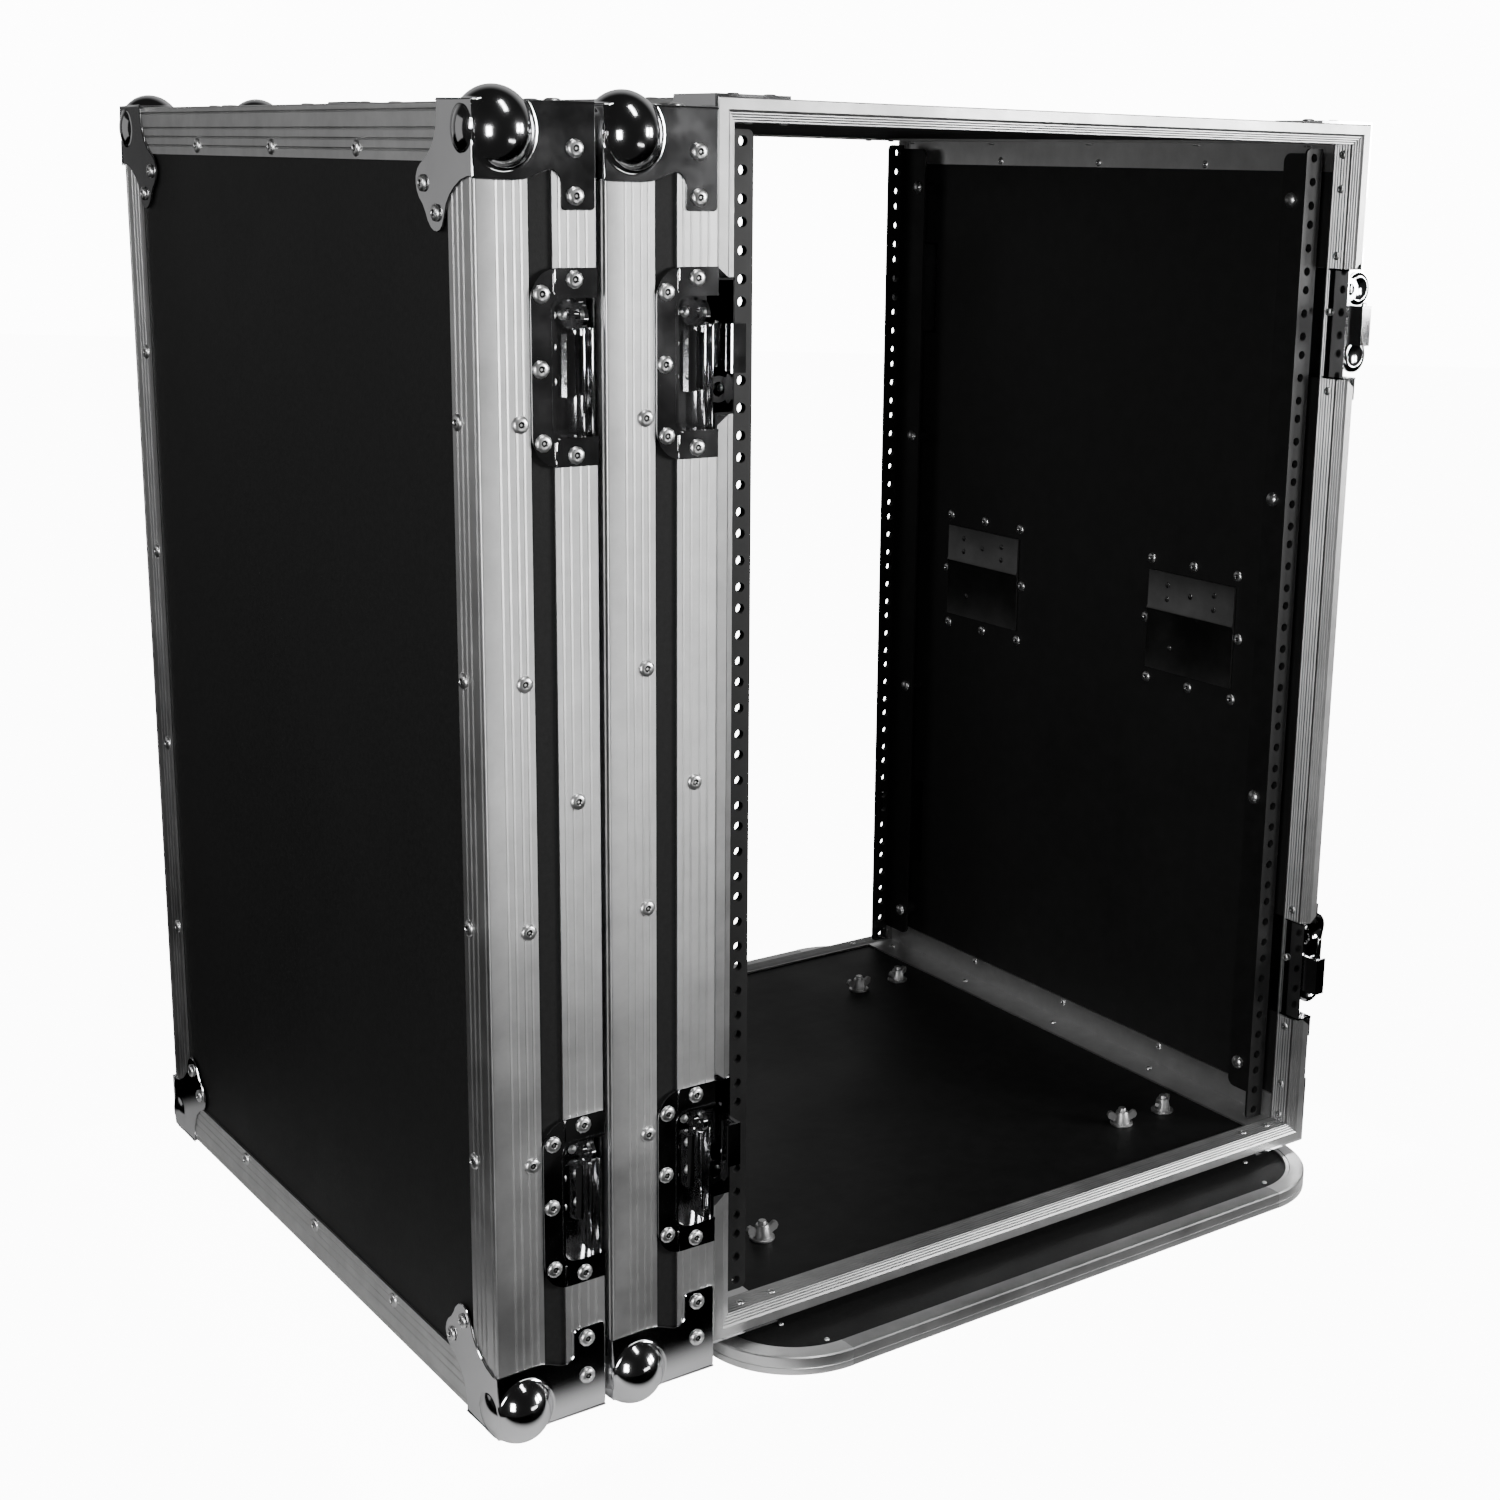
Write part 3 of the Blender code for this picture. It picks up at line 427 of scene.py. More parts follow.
caseExtrusion = {
    "sheet": 1.5,
    "solid": 8.0,          # depth of the thick front part
    "lip": 7.0,
    "chamfer": 4.5,
    "innerLeg": 21.0,
    "outerLeg": 26.0,
    "innerRibs": [2.4, 5.0, 7.4, 10.0, 12.2, 14.4],
    "outerRibs": [4.0, 9.0, 15.0, 20.0],
    "frontRibs": [1.4, 3.1, 4.8, 6.5],
    "cornerCut": 7.0,      # slanted cut of the lip at each latch
    "latchRoom": 1.5,
}


def caseFrameProfile():
    spec, wall = caseExtrusion, case["wall"]
    lip, chamfer, sheet, solid = spec["lip"], spec["chamfer"], spec["sheet"], spec["solid"]
    innerLeg, outerLeg = spec["innerLeg"], spec["outerLeg"]
    points = [(0.0, 0.6), (0.6, 0.0), (lip - 0.5, 0.0)]
    points += grooved((lip, 0.35), (wall, chamfer), spec["frontRibs"], (-0.58, 0.81), 0.3, 0.5)
    points += grooved((wall, chamfer), (wall, innerLeg), spec["innerRibs"], (-1, 0))
    points += [(wall, innerLeg), (wall - sheet, innerLeg), (wall - sheet, solid), (sheet, solid)]
    points += [(sheet, outerLeg)]
    points += grooved((0.0, outerLeg), (0.0, 0.6), spec["outerRibs"], (1, 0))
    return points


def makeCaseFrame(end):
    sign = signs[end]
    work = bmesh.new()
    centre = Vector((0, sign * case["halfDepth"], case["middle"]))
    stations = rectangleStations(case["halfWidth"], case["halfHeight"], centre, xAxis, -yAxis * sign)
    addRing(work, stations, caseFrameProfile())
    obj = finishMesh(end + "Frame", work, "frameAluminium", 20.0)
    # room for each latch
    tools = []
    half, cut = case["recessHalf"] + caseExtrusion["latchRoom"], caseExtrusion["cornerCut"]
    outer, inner, mouth = case["halfWidth"], case["halfWidth"] - case["wall"], case["halfDepth"]
    legEnd = mouth - caseExtrusion["innerLeg"] + 1.5
    for side in (-1, 1):
        for level in (-1, 1):
            z = case["middle"] + level * case["latchSpread"]
            for x0, x1, y1 in ((outer + 2, inner + 1, mouth - 30), (inner + 2, inner - 2, legEnd)):
                tools.append(makeTool(addBox, (side * x0, sign * (mouth + 2), z - half),
                                      (side * x1, sign * y1, z + half)))
            slant = [(-2, -half - cut), (cut, -half), (cut, half), (-2, half + cut)]
            ys = sorted((sign * (mouth + 2), sign * (mouth - 7.5)))
            tools.append(makeTool(addPrism, slant, *ys, lambda a, b, c: (side * (outer - a), c, z + b)))
    carve(obj, tools)
    softenEdges(obj, 20.0)
    ready(obj, "case", end + "_frame", slot="ribbed_aluminium")


for end in ("front", "rear"):
    makeCaseFrame(end)

edgeSpec = {
    "leg": 30.0,
    "sheet": 1.5,
    "ribs": [4.0, 9.5, 15.0, 19.0, 24.5, 27.5],
    "brace": 48.0,          # the braces riveted over its ends
    "lap": 18.0,
    "proud": 1.8,
}


def makeEdgeAngle(level, side):
    leg, sheet, ribs = edgeSpec["leg"], edgeSpec["sheet"], edgeSpec["ribs"]

    def place(a, b, c):
        return Vector((signs[side] * (case["halfWidth"] - a), c,
                       case["middle"] + signs[level] * (case["halfHeight"] - b)))

    work = bmesh.new()
    outline = [(leg, 0.0), (leg, sheet), (sheet, sheet), (sheet, leg)]
    outline += grooved((0.0, leg), (0.0, 0.0), [leg - rib for rib in ribs[::-1]], (1, 0))
    outline += [(0.0, 0.7), (0.25, 0.25), (0.7, 0.0)]
    outline += grooved((0.8, 0.0), (leg, 0.0), ribs, (0, 1))[1:]
    end = case["halfDepth"] - caseExtrusion["outerLeg"] - 0.3
    addPrism(work, outline, -end, end, place)
    obj = finishMesh("edgeAngle_%s_%s" % (level, side), work, "ribbedAluminium", 20.0)
    ready(obj, "case", "edge_angle_%s_%s" % (level, side), slot="ribbed_aluminium")
    work = bmesh.new()
    size, proud = edgeSpec["brace"], edgeSpec["proud"]
    outline = [(size, 0.3), (size, -proud), (0.6 - proud, -proud), (-proud, 0.6 - proud), (-proud, size),
               (0.3, size), (-0.3, -0.3)]
    for sign in (-1, 1):
        ys = sorted((sign * (case["halfDepth"] - 1.0), sign * (end - edgeSpec["lap"])))
        addPrism(work, outline, *ys, place)
    brace = finishMesh("cornerBraces_%s_%s" % (level, side), work, "chromedSteel")
    ready(brace, "case", slot="chrome")


for level in ("top", "bottom"):
    for side in ("left", "right"):
        makeEdgeAngle(level, side)
print("case extrusions ready")


railSpec = {
    "units": 16,
    "unit": 44.45,
    "offsets": [6.35, 22.225, 38.1],     # holes in each unit
    "column": 232.55,
    "inner": 225.425,
    "face": 15.6,
    "side": 34.0,
    "sheet": 2.0,
    "plane": 238.0,
    "holeRadius": 3.0,
    "collar": 2.8,          # threaded collar behind each hole
    "corner": 4.0,
    "sideCorner": 6.0,
    "screws": [-321.0, -111.0, 111.0, 321.0],
    "screwDepth": 25.0,
}


def makeRail(end, side):
    signX, signY = signs[side], signs[end]
    spec = railSpec
    inner, outer, face = spec["inner"], spec["inner"] + spec["face"], spec["plane"]
    corner, sheet, radius = spec["corner"], spec["sheet"], spec["holeRadius"]
    height = spec["units"] * spec["unit"]
    bottom = case["middle"] - height / 2
    holes = [(signX * spec["column"], bottom + unit * spec["unit"] + offset)
             for unit in range(spec["units"]) for offset in spec["offsets"]]
    work = bmesh.new()
    outline = [(outer, bottom), (outer, bottom + height)]
    outline += arc((inner + corner, bottom + height - corner), corner, 90, 180, 5)
    outline += arc((inner + corner, bottom + corner), corner, 180, 270, 5)
    addPrism(work, outline, face - sheet, face, lambda a, b, c: Vector((signX * a, signY * c, b)))
    plate = finishMesh("railFace", work, "railSteel")

    def addHoles(work):
        for hole in holes:
            addPrism(work, arc(hole, radius, 0, 337.5, 15), face - sheet - 1, face + 1,
                     lambda a, b, c: Vector((a, signY * c, b)))

    carve(plate, [makeTool(addHoles)])
    work = reopen(plate)
    for hole in holes:
        bore, rim = (arc(hole, r, 0, 337.5, 15) for r in (radius, radius + 1.0))
        addWall(work, bore, rim, face - sheet - spec["collar"], face - sheet - 0.02,
                lambda c, a, b: Vector((a, signY * c, b)))
    deep, turn = face - spec["side"], spec["sideCorner"]
    low, high = bottom + 14.0, bottom + height - 3.0
    outline = [(face - 0.4, low), (face - 0.4, high)]
    outline += arc((deep + turn, high - turn), turn, 90, 180, 5)
    outline += arc((deep + turn, low + turn), turn, 180, 270, 5)
    addPrism(work, outline, outer - sheet, outer, lambda a, b, c: Vector((signX * c, signY * a, b)))
    spacer = [(0, outer - 0.5), (5.5, outer - 0.5), (5.5, 251.6), (0, 251.6)]
    for z in spec["screws"]:
        addTurned(work, spacer, 16, lambda a, b, c: Vector(
            (signX * c, signY * (face - spec["screwDepth"]) + a, case["middle"] + z + b)))
    obj = finishMesh("rail_%s_%s" % (end, side), work, "railSteel")
    ready(obj, "case", "rack_rail_%s_%s" % (end, side), slot="black_steel")


for end in ("front", "rear"):
    for side in ("left", "right"):
        makeRail(end, side)
print("rack rails ready")


latchSpec = {
    "half": 52.0,
    "recess": 36.5,
    "plateTop": 1.5,
    "floor": -10.7,
    "plateCorner": 16.0,
    "recessCorner": 6.0,
    "lip": 0.5,
    "near": 0.5,            # gap to the mating edge
    "stem": 21.0,           # from the mating edge to the wing's axis
    "pin": -3.7,            # height of the wing's hinge pin
}


def recessOutline(end, front, grow):
    half = latchSpec["recess"] + grow
    corners = roundedEnd(end + grow, half, latchSpec["recessCorner"] + grow, 5)
    return [(front, half)] + corners + [(front, -half)]


def addLatchPlate(work, plateEnd, recessEnd, front, place):
    half, recess, near = latchSpec["half"], latchSpec["recess"], latchSpec["near"]
    top, floor = latchSpec["plateTop"], latchSpec["floor"]
    outline = [(near, recess), (near, half)] + roundedEnd(plateEnd, half, latchSpec["plateCorner"], 8)
    outline += [(near, -half), (near, -recess)]
    outline += recessOutline(recessEnd, near, 0.0)[1:-1][::-1]
    addPrism(work, outline, 0.25, top, lambda a, b, c: place(c, a, b))
    addWall(work, recessOutline(recessEnd, near, 0.0), recessOutline(recessEnd, near, 1.4), top - 0.2,
            top + latchSpec["lip"], place, False)
    addWall(work, recessOutline(recessEnd, front, 0.0), recessOutline(recessEnd, front, 1.1), floor - 0.9,
            0.6, place, False)
    addPrism(work, recessOutline(recessEnd, front, 1.0), floor - 0.9, floor, lambda a, b, c: place(c, a, b))
    for sign in (-1, 1):   # pressed step where the plate leaves the extrusion
        addPlacedBox(work, (top - 0.2, 25.4, sign * 38.5), (top + 0.35, 26.6, sign * 51.5), 0.25, place)


def addRingPlate(work, y0, y1, zMiddle, place, radius, hole, x=-4.0):
    # upright plate with a round hole through it
    inside, hoop = (arc((x, zMiddle), r, 90, -247.5, 15) for r in (hole, radius))
    addWall(work, inside, hoop, y1, y0, lambda c, a, b: place(a, c, b))
    low, high = latchSpec["floor"] - 0.2, x - hole - 0.2
    foot = [(low, zMiddle - radius - 1), (low, zMiddle + radius + 1),
            (high, zMiddle + radius * 0.75), (high, zMiddle - radius * 0.75)]
    addPrism(work, foot, y0 + 0.05, y1 - 0.05, lambda a, b, c: place(a, c, b))


def addFoot(work, y0, y1, z0, z1, height, place, corner=3.0):
    # flat foot with rounded far corners
    outline = [(y0, z0)] + arc((y1 - corner, z0 + corner), corner, -90, 0, 4)
    outline += arc((y1 - corner, z1 - corner), corner, 0, 90, 4) + [(y0, z1)]
    floor = latchSpec["floor"]
    addPrism(work, outline, floor - 0.2, floor + height, lambda a, b, c: place(c, a, b))


innerHeads = {"case": [], "lid_1": [], "lid_2": []}


def addHeads(body, spots, lift, place, radius):
    # bright round heads on the floor of a recess, placed with the other rivets
    outward = place(1, 0, 0) - place(0, 0, 0)
    for y, z in spots:
        innerHeads[body].append((place(latchSpec["floor"] + lift, y, z), outward, radius / 4.5))


def latchPlace(side, end, level):
    signX, signY = signs[side], signs[end]
    signZ = -signX * signY      # the latch is turned half a turn, never mirrored
    centre = Vector((signX * case["halfWidth"], signY * case["halfDepth"],
                     case["middle"] + signs[level] * case["latchSpread"]))
    return lambda a, b, c: centre + Vector((signX * a, -signY * b, signZ * c))


def makeDish(name, place):
    floor, stem, pin = latchSpec["floor"], latchSpec["stem"], latchSpec["pin"]
    work = bmesh.new()
    addLatchPlate(work, 71.0, 58.5, 1.0, place)
    boss = [(0, floor - 0.2), (7.2, floor - 0.2), (7.2, floor + 1.0), (6.0, floor + 1.8), (6.0, -7.4),
            (4.4, -7.0), (0, -7.0)]
    addTurned(work, boss, 20, lambda a, b, c: place(c, stem + a, b))
    addPrism(work, [(-8.6, 17.5), (-6.0, 17.5), (-6.0, 24.5), (-8.6, 24.5)], -11.8, 11.8, place)
    lug = [(-7.0, 18.0), (-7.0, 24.0)] + arc((pin, stem), 3.0, 90, -90, 6)
    addPrism(work, lug, -11.8, -9.35, place)
    addPrism(work, lug, 9.35, 11.8, place)
    # hook channel with its two lips
    hook = [(floor + 0.3, -12.5), (-1.6, -12.5), (-1.0, -12.0), (-1.0, -11.4), (-1.6, -11.0), (-8.0, -11.0),
            (-8.0, 19.0), (floor + 0.3, 19.0)]
    addPrism(work, hook, -13.5, 13.5, place)
    lip = [(-8.3, -3.4), (-3.4, -3.4), (-3.0, -3.0), (-3.0, -2.4), (-3.4, -2.0), (-8.3, -2.0)]
    addPrism(work, lip, -13.2, 13.2, place)
    addRingPlate(work, 5.5, 7.0, 24.0, place, 7.6, 4.2)
    addFoot(work, 6.0, 26.0, 16.6, 31.6, 1.4, place)
    addHeads("case", [(12.0, 24.0), (20.5, 24.0)], 1.2, place, 2.5)
    addHeads("case", [(34.0, 27.0), (34.0, -27.0)], 0.0, place, 2.1)
    obj = finishMesh("dish_" + name, work, "chromedSteel")
    ready(obj, "case", "latch_dish_" + name, slot="chrome")


def makeWing(name, place):
    stem, pin = latchSpec["stem"], latchSpec["pin"]
    reach, lobe, apart = 20.3, 12.0, 23.3     # the two round lobes
    work = bmesh.new()
    outline = [(pin, -9.0), (8.3, -9.0)] + arc((reach, -apart), lobe, 180, 360, 16)
    outline += [(reach + 9.6, -11.0), (reach + 9.6, 11.0)] + arc((reach, apart), lobe, 0, 180, 16)
    outline += [(8.3, 9.0), (pin, 9.0)]
    addPrism(work, outline, stem - 0.8, stem + 0.8, lambda a, b, c: place(a, c, b))
    dimple = [(11.6, 0.7), (10.4, 1.7), (8.6, 2.3), (7.4, 2.1), (6.2, 1.3), (0, 1.0)]
    for sign in (-1, 1):
        for face in (-1, 1):
            addTurned(work, dimple, 24,
                      lambda a, b, c: place(reach + a, stem + face * c, sign * apart + b))
    for inner, outer in ((9.2, 12.2), (reach + 5.4, reach + 9.6)):
        addPlacedBox(work, (inner, 19.2, -13.5), (outer, 22.8, 13.5), 0.8, place)
    for radius, half, sides in ((2.0, 9.0, 14), (1.2, 13.0, 10)):
        addTurned(work, [(0, -half), (radius, -half), (radius, half), (0, half)], sides,
                  lambda a, b, c: place(pin + a, stem + b, c))
    obj = finishMesh("wing_" + name, work, "chromedSteel")
    ready(obj, "wing_" + name, "latch_wing_" + name, slot="chrome")


for side in ("left", "right"):
    for end in ("front", "rear"):
        for level in ("lower", "upper"):
            place = latchPlace(side, end, level)
            makeDish("%s_%s_%s" % (end, side, level), place)
            makeWing("%s_%s_%s" % (end, side, level), place)
print("latches ready")


handleSpec = {
    "halfLength": 54.0,
    "halfHeight": 56.0,
    "corner": 6.0,
    "pocketLength": 44.0,
    "pocketHeight": 36.0,
    "floor": -10.3,
    "axis": (-5.2, 26.0),        # depth and height of the grip's hinge
    "gripHalf": 38.0,
    "armSpread": 35.0,
    "drop": -20.0,
}


def pocketOutline(grow=0.0):
    return roundedRectangle(handleSpec["pocketLength"] + grow, handleSpec["pocketHeight"] + grow,
                            handleSpec["corner"] + grow)


def makeHandle(side, end, y):
    sign, name = signs[side], "%s_%s" % (end, side)
    floor, (depth, hinge) = handleSpec["floor"], handleSpec["axis"]

    def place(a, b, c):
        return Vector((sign * (case["halfWidth"] + a), y + sign * b, case["middle"] + c))

    work = bmesh.new()
    outline = roundedRectangle(handleSpec["halfLength"], handleSpec["halfHeight"], handleSpec["corner"])
    addWall(work, pocketOutline(), outline, -1.5, 0.0, place)
    addWall(work, pocketOutline(), pocketOutline(1.2), floor - 1.2, -0.8, place)
    addWall(work, pocketOutline(), pocketOutline(1.8), -0.2, 0.6, place)
    addPrism(work, pocketOutline(1.0), floor - 1.2, floor, lambda a, b, c: place(c, a, b))
    addTurned(work, [(0, -44.5), (2.2, -44.5), (2.2, 44.5), (0, 44.5)], 14,
              lambda a, b, c: place(depth + a, c, hinge + b))
    obj = finishMesh("handleDish_" + name, work, "chromedSteel")
    ready(obj, "case", "handle_dish_" + name, slot="chrome")
    # backing plate seen inside the case, with a crease and its round heads
    work = bmesh.new()
    outline = [(-12.0, -38.5), (-13.4, -38.5), (-13.4, 6.0), (-14.6, 8.5), (-13.6, 11.0), (-13.4, 38.5),
               (-12.0, 38.5)]
    addPrism(work, outline, -46, 46, lambda a, b, c: place(a, c, b))
    head = [(2.4, -0.5), (2.4, 0.1), (2.4 * 0.86, 1.2 * 0.6), (2.4 * 0.5, 1.2 * 0.93), (0, 1.2)]
    for b, c in ((-25, 29), (-25, 18), (0, 24), (25, 29), (25, 18), (20, -20)):
        addTurned(work, head, 14, lambda p, q, r: place(-13.2 - r, b + p, c + q))
    plate = finishMesh("handleBack_" + name, work, "dishSteel")
    ready(plate, "case", slot="chrome")
    # the grip itself
    work = bmesh.new()
    spread, drop, half = handleSpec["armSpread"], handleSpec["drop"], handleSpec["gripHalf"]
    for way in (-1, 1):
        arm = way * spread
        addPlacedBox(work, (-2.8, arm - 3, drop), (2.8, arm + 3, hinge), 1.0,
                     lambda a, b, c: place(depth + a, b, c))
        addTurned(work, [(0, -3), (4.3, -3), (4.3, 3), (0, 3)], 18,
                  lambda a, b, c: place(depth + a, arm + c, hinge + b))
    bar = [(0, -half), (3.6, -half), (4.8, 1.5 - half), (4.8, half - 1.5), (3.6, half), (0, half)]
    addTurned(work, bar, 20, lambda a, b, c: place(depth + a, c, drop + b))
    grip = finishMesh("grip_" + name, work, "gripRubber")
    ready(grip, "grip_" + name, "handle_grip_" + name, slot="black_rubber")


for side in ("left", "right"):
    for end, y in (("front", -125.0), ("rear", 125.0)):
        makeHandle(side, end, y)
print("handles ready")


boardSpec = {
    "halfX": 256.0,
    "halfY": 307.5,
    "corner": 66.0,
    "thick": 12.0,
    "inset": 1.8,           # the board's edge sits this far inside the edging
    "flange": 13.6,
    "boltColumns": [-213.0, -175.0, 150.0, 192.0],
    "boltRows": [-182.0, 154.0],
    "spacer": (10.5, 10.0, 19.5),        # radius, and from and to which height
}


def makeBoard():
    spec = boardSpec
    top, inset, flange, cornerSteps = spec["thick"], spec["inset"], spec["flange"], 20
    work = bmesh.new()
    halfX, halfY, bend = (spec[key] - inset for key in ("halfX", "halfY", "corner"))
    outline = roundedRectangle(halfX, halfY, bend, cornerSteps)
    addPrism(work, outline, 0.0, top - inset, lambda a, b, c: Vector((a, b, c)))
    board = finishMesh("baseBoard", work, "lidLaminate")
    ready(board, "case", "base_board", slot="black_laminate")
    work = bmesh.new()
    radius, low, high = spec["spacer"]
    for x in spec["boltColumns"]:
        for y in spec["boltRows"]:
            addTurned(work, [(0, low), (radius, low), (radius, high), (0, high)], 20,
                      lambda a, b, c: Vector((x + a, y + b, c)))
    spacers = finishMesh("boardSpacers", work, "railSteel")
    ready(spacers, "case", slot="black_steel")
    profile = [(0.0, 0.0), (0.0, 4.2), (0.35, 4.5), (0.35, 5.1), (0.0, 5.4), (0.0, top - 0.8), (0.8, top),
               (flange - 3.2, top), (flange - 2.9, top - 0.4), (flange - 0.4, top - 0.4), (flange, top - 0.8),
               (flange, top - 1.5), (1.5, top - 1.5), (1.5, 0.0)]
    corners = []
    for first, a, b in ((0, 1, 1), (90, -1, 1), (180, -1, -1), (270, 1, -1)):
        centre = Vector((a * (spec["halfX"] - spec["corner"]), b * (spec["halfY"] - spec["corner"]), 0))
        corner = []
        for i in range(cornerSteps + 1):
            angle = math.radians(first + 90 / cornerSteps * i)
            outward = Vector((math.cos(angle), math.sin(angle), 0))
            corner.append((centre + outward * spec["corner"], -outward, zAxis))
        corners.append(corner)
    work = bmesh.new()
    shrunk = [(u + 0.2, v - (0.15 if v > 10 else 0)) for u, v in profile]
    addRing(work, sum(corners, []), shrunk)
    edging = finishMesh("boardEdging", work, "edgingAluminium", 25.0)
    ready(edging, "case", "board_edging", slot="ribbed_aluminium")
    work = bmesh.new()
    for corner in corners:
        addRing(work, corner, profile, False)
    caps = finishMesh("boardCorners", work, "cornerAluminium", 25.0)
    ready(caps, "case", slot="ribbed_aluminium")


makeBoard()

nutSpec = {
    "base": 29.5,
    "turn": 0.5,            # each nut is turned by up to this many radians
    "seed": 4,
    "wing": [(2.0, 2.0), (6.5, 3.0), (10.4, 5.0), (11.4, 7.4), (10.6, 9.8), (8.4, 10.4), (6.4, 9.0),
             (4.4, 7.6), (2.0, 7.4)],
}


def makeWingNut(work, x, y, turn):
    cos, sin = math.cos(turn), math.sin(turn)

    def place(a, b, c):
        return Vector((x + a * cos - b * sin, y + a * sin + b * cos, nutSpec["base"] + c))

    addTurned(work, [(0, 0), (8.5, 0), (8.5, 1.2), (8.2, 1.5), (0, 1.5)], 24, place)
    hub = [(0, 1.2), (6.2, 1.2), (6.2, 2.5), (4.6, 9.2), (4.2, 10.0), (3.0, 10.2), (0, 10.2)]
    addTurned(work, hub, 20, place)
    addTurned(work, [(0, 9.0), (2.9, 9.0), (2.9, 12.2), (2.5, 12.7), (0, 12.7)], 14, place)
    for sign in (-1, 1):
        wing = [(sign * a, c) for a, c in nutSpec["wing"]]
        addPrism(work, wing, -1.5, 1.5, lambda a, b, c: place(a, c, b))


def makeWingNuts():
    work = bmesh.new()
    chance = random.Random(nutSpec["seed"])
    for x in boardSpec["boltColumns"]:
        for y in boardSpec["boltRows"]:
            makeWingNut(work, x, y, chance.uniform(-nutSpec["turn"], nutSpec["turn"]))
    nuts = finishMesh("wingNuts", work, "edgingAluminium", 40.0)
    ready(nuts, "case", slot="chrome")


makeWingNuts()
print("base board ready")


lidExtrusion = {
    "leg": 30.0,
    "sheet": 1.5,
    "solid": 8.0,
    "innerLeg": 20.0,
    "outerLeg": 26.0,
    "matingRibs": [4.0, 9.0, 15.0, 20.0],
    "faceRibs": [4.0, 13.4, 19.0, 24.5],
    "sideRibs": [12.0, 16.6, 21.8, 26.0],
    "edgeRadius": 1.3,
    "latchRoom": 0.6,
}


def lidPlace(number):
    return Vector((lids["mating"][number], lids["y"], lids["z"]))


def makeLidTrim(number):
    spec = lidExtrusion
    leg, sheet, edge = spec["leg"], spec["sheet"], spec["edgeRadius"]
    profile = grooved((edge, 0.0), (leg, 0.0), [rib - edge for rib in spec["faceRibs"]], (0, 1))
    profile += [(leg, 0.0), (leg, sheet), (sheet, sheet), (sheet, leg)]
    profile += grooved((0.0, leg), (0.0, edge), [leg - rib for rib in spec["sideRibs"][::-1]], (1, 0))
    profile += arc((edge, edge), edge, 180, 270, 6)[:-1]
    centre = lidPlace(number) + Vector((-lids["depth"], 0, 0))
    work = bmesh.new()
    addRing(work, rectangleStations(lids["halfWidth"], lids["halfHeight"], centre, yAxis, xAxis), profile)
    obj = finishMesh("lid%dTrim" % number, work, "ribbedAluminium", 20.0)
    ready(obj, "lid_%d" % number, "lid_%d_face_trim" % number, slot="ribbed_aluminium")


def makeLidFrame(number):
    origin = lidPlace(number)
    spec, wall = lidExtrusion, case["wall"]
    sheet, solid, inLeg, outLeg = spec["sheet"], spec["solid"], spec["innerLeg"], spec["outerLeg"]
    profile = [(0.6, 0.0), (wall, 0.0), (wall, inLeg), (wall - sheet, inLeg), (wall - sheet, solid),
               (sheet, solid), (sheet, outLeg)]
    profile += grooved((0.0, outLeg), (0.0, 0.6), spec["matingRibs"], (1, 0)) + [(0.0, 0.6)]
    work = bmesh.new()
    addRing(work, rectangleStations(lids["halfWidth"], lids["halfHeight"], origin, yAxis, -xAxis), profile)
    obj = finishMesh("lid%dFrame" % number, work, "ribbedAluminium", 20.0)
    tools = []
    half = case["recessHalf"] + spec["latchRoom"]
    outer, inner = lids["halfWidth"], lids["halfWidth"] - wall
    for side in (-1, 1):
        for level in (-1, 1):
            z = origin.z + level * case["latchSpread"]
            for depth, y0, y1 in ((30, outer + 2, inner + 1), (18.5, inner + 2, inner - 2)):
                tools.append(makeTool(addBox, (origin.x - depth, origin.y + side * y0, z - half),
                                      (origin.x + 2, origin.y + side * y1, z + half)))
    carve(obj, tools)
    softenEdges(obj, 20.0)
    ready(obj, "lid_%d" % number, "lid_%d_frame" % number, slot="ribbed_aluminium")


def makeKeepers(number):
    origin, body = lidPlace(number), "lid_%d" % number
    floor = latchSpec["floor"]
    channel = [(floor, 8.4), (-6.2, 9.6), (-5.4, 10.6), (-5.4, 14.0), (-6.2, 15.2), (floor, 16.4)]
    low = floor - 0.2
    work = bmesh.new()
    for side in (-1, 1):
        for level in (-1, 1):
            centre = origin + Vector((0, side * lids["halfWidth"], level * case["latchSpread"]))

            def place(a, b, c):
                return centre + Vector((-b, side * a, side * c))

            addLatchPlate(work, 39.7, 26.4, 0.5, place)
            # padlock ring on its foot
            addRingPlate(work, 7.0, 9.4, -27.0, place, 7.4, 3.4)
            addFoot(work, 8.0, 25.4, -33.6, -20.6, 1.2, place)
            addHeads(body, [(15.5, -27.0), (21.8, -27.0)], 1.0, place, 2.7)
            # riveted catch with its pressed channel
            addFoot(work, 8.0, 25.4, -17.5, 16.5, 1.0, place)
            addHeads(body, [(21.6, -10.0), (21.6, 8.0)], 0.8, place, 2.6)
            addPrism(work, channel, -17.0, 16.0, place)
            for y0, y1, high in ((5.6, 7.0, -3.2), (1.0, 2.2, -2.6), (2.2, 5.6, floor + 1.2)):
                addPlacedBox(work, (low, y0, -20.5), (high, y1, 36.4), 0.3, place)
    obj = finishMesh("lid%dKeepers" % number, work, "chromedSteel")
    ready(obj, body, slot="chrome")


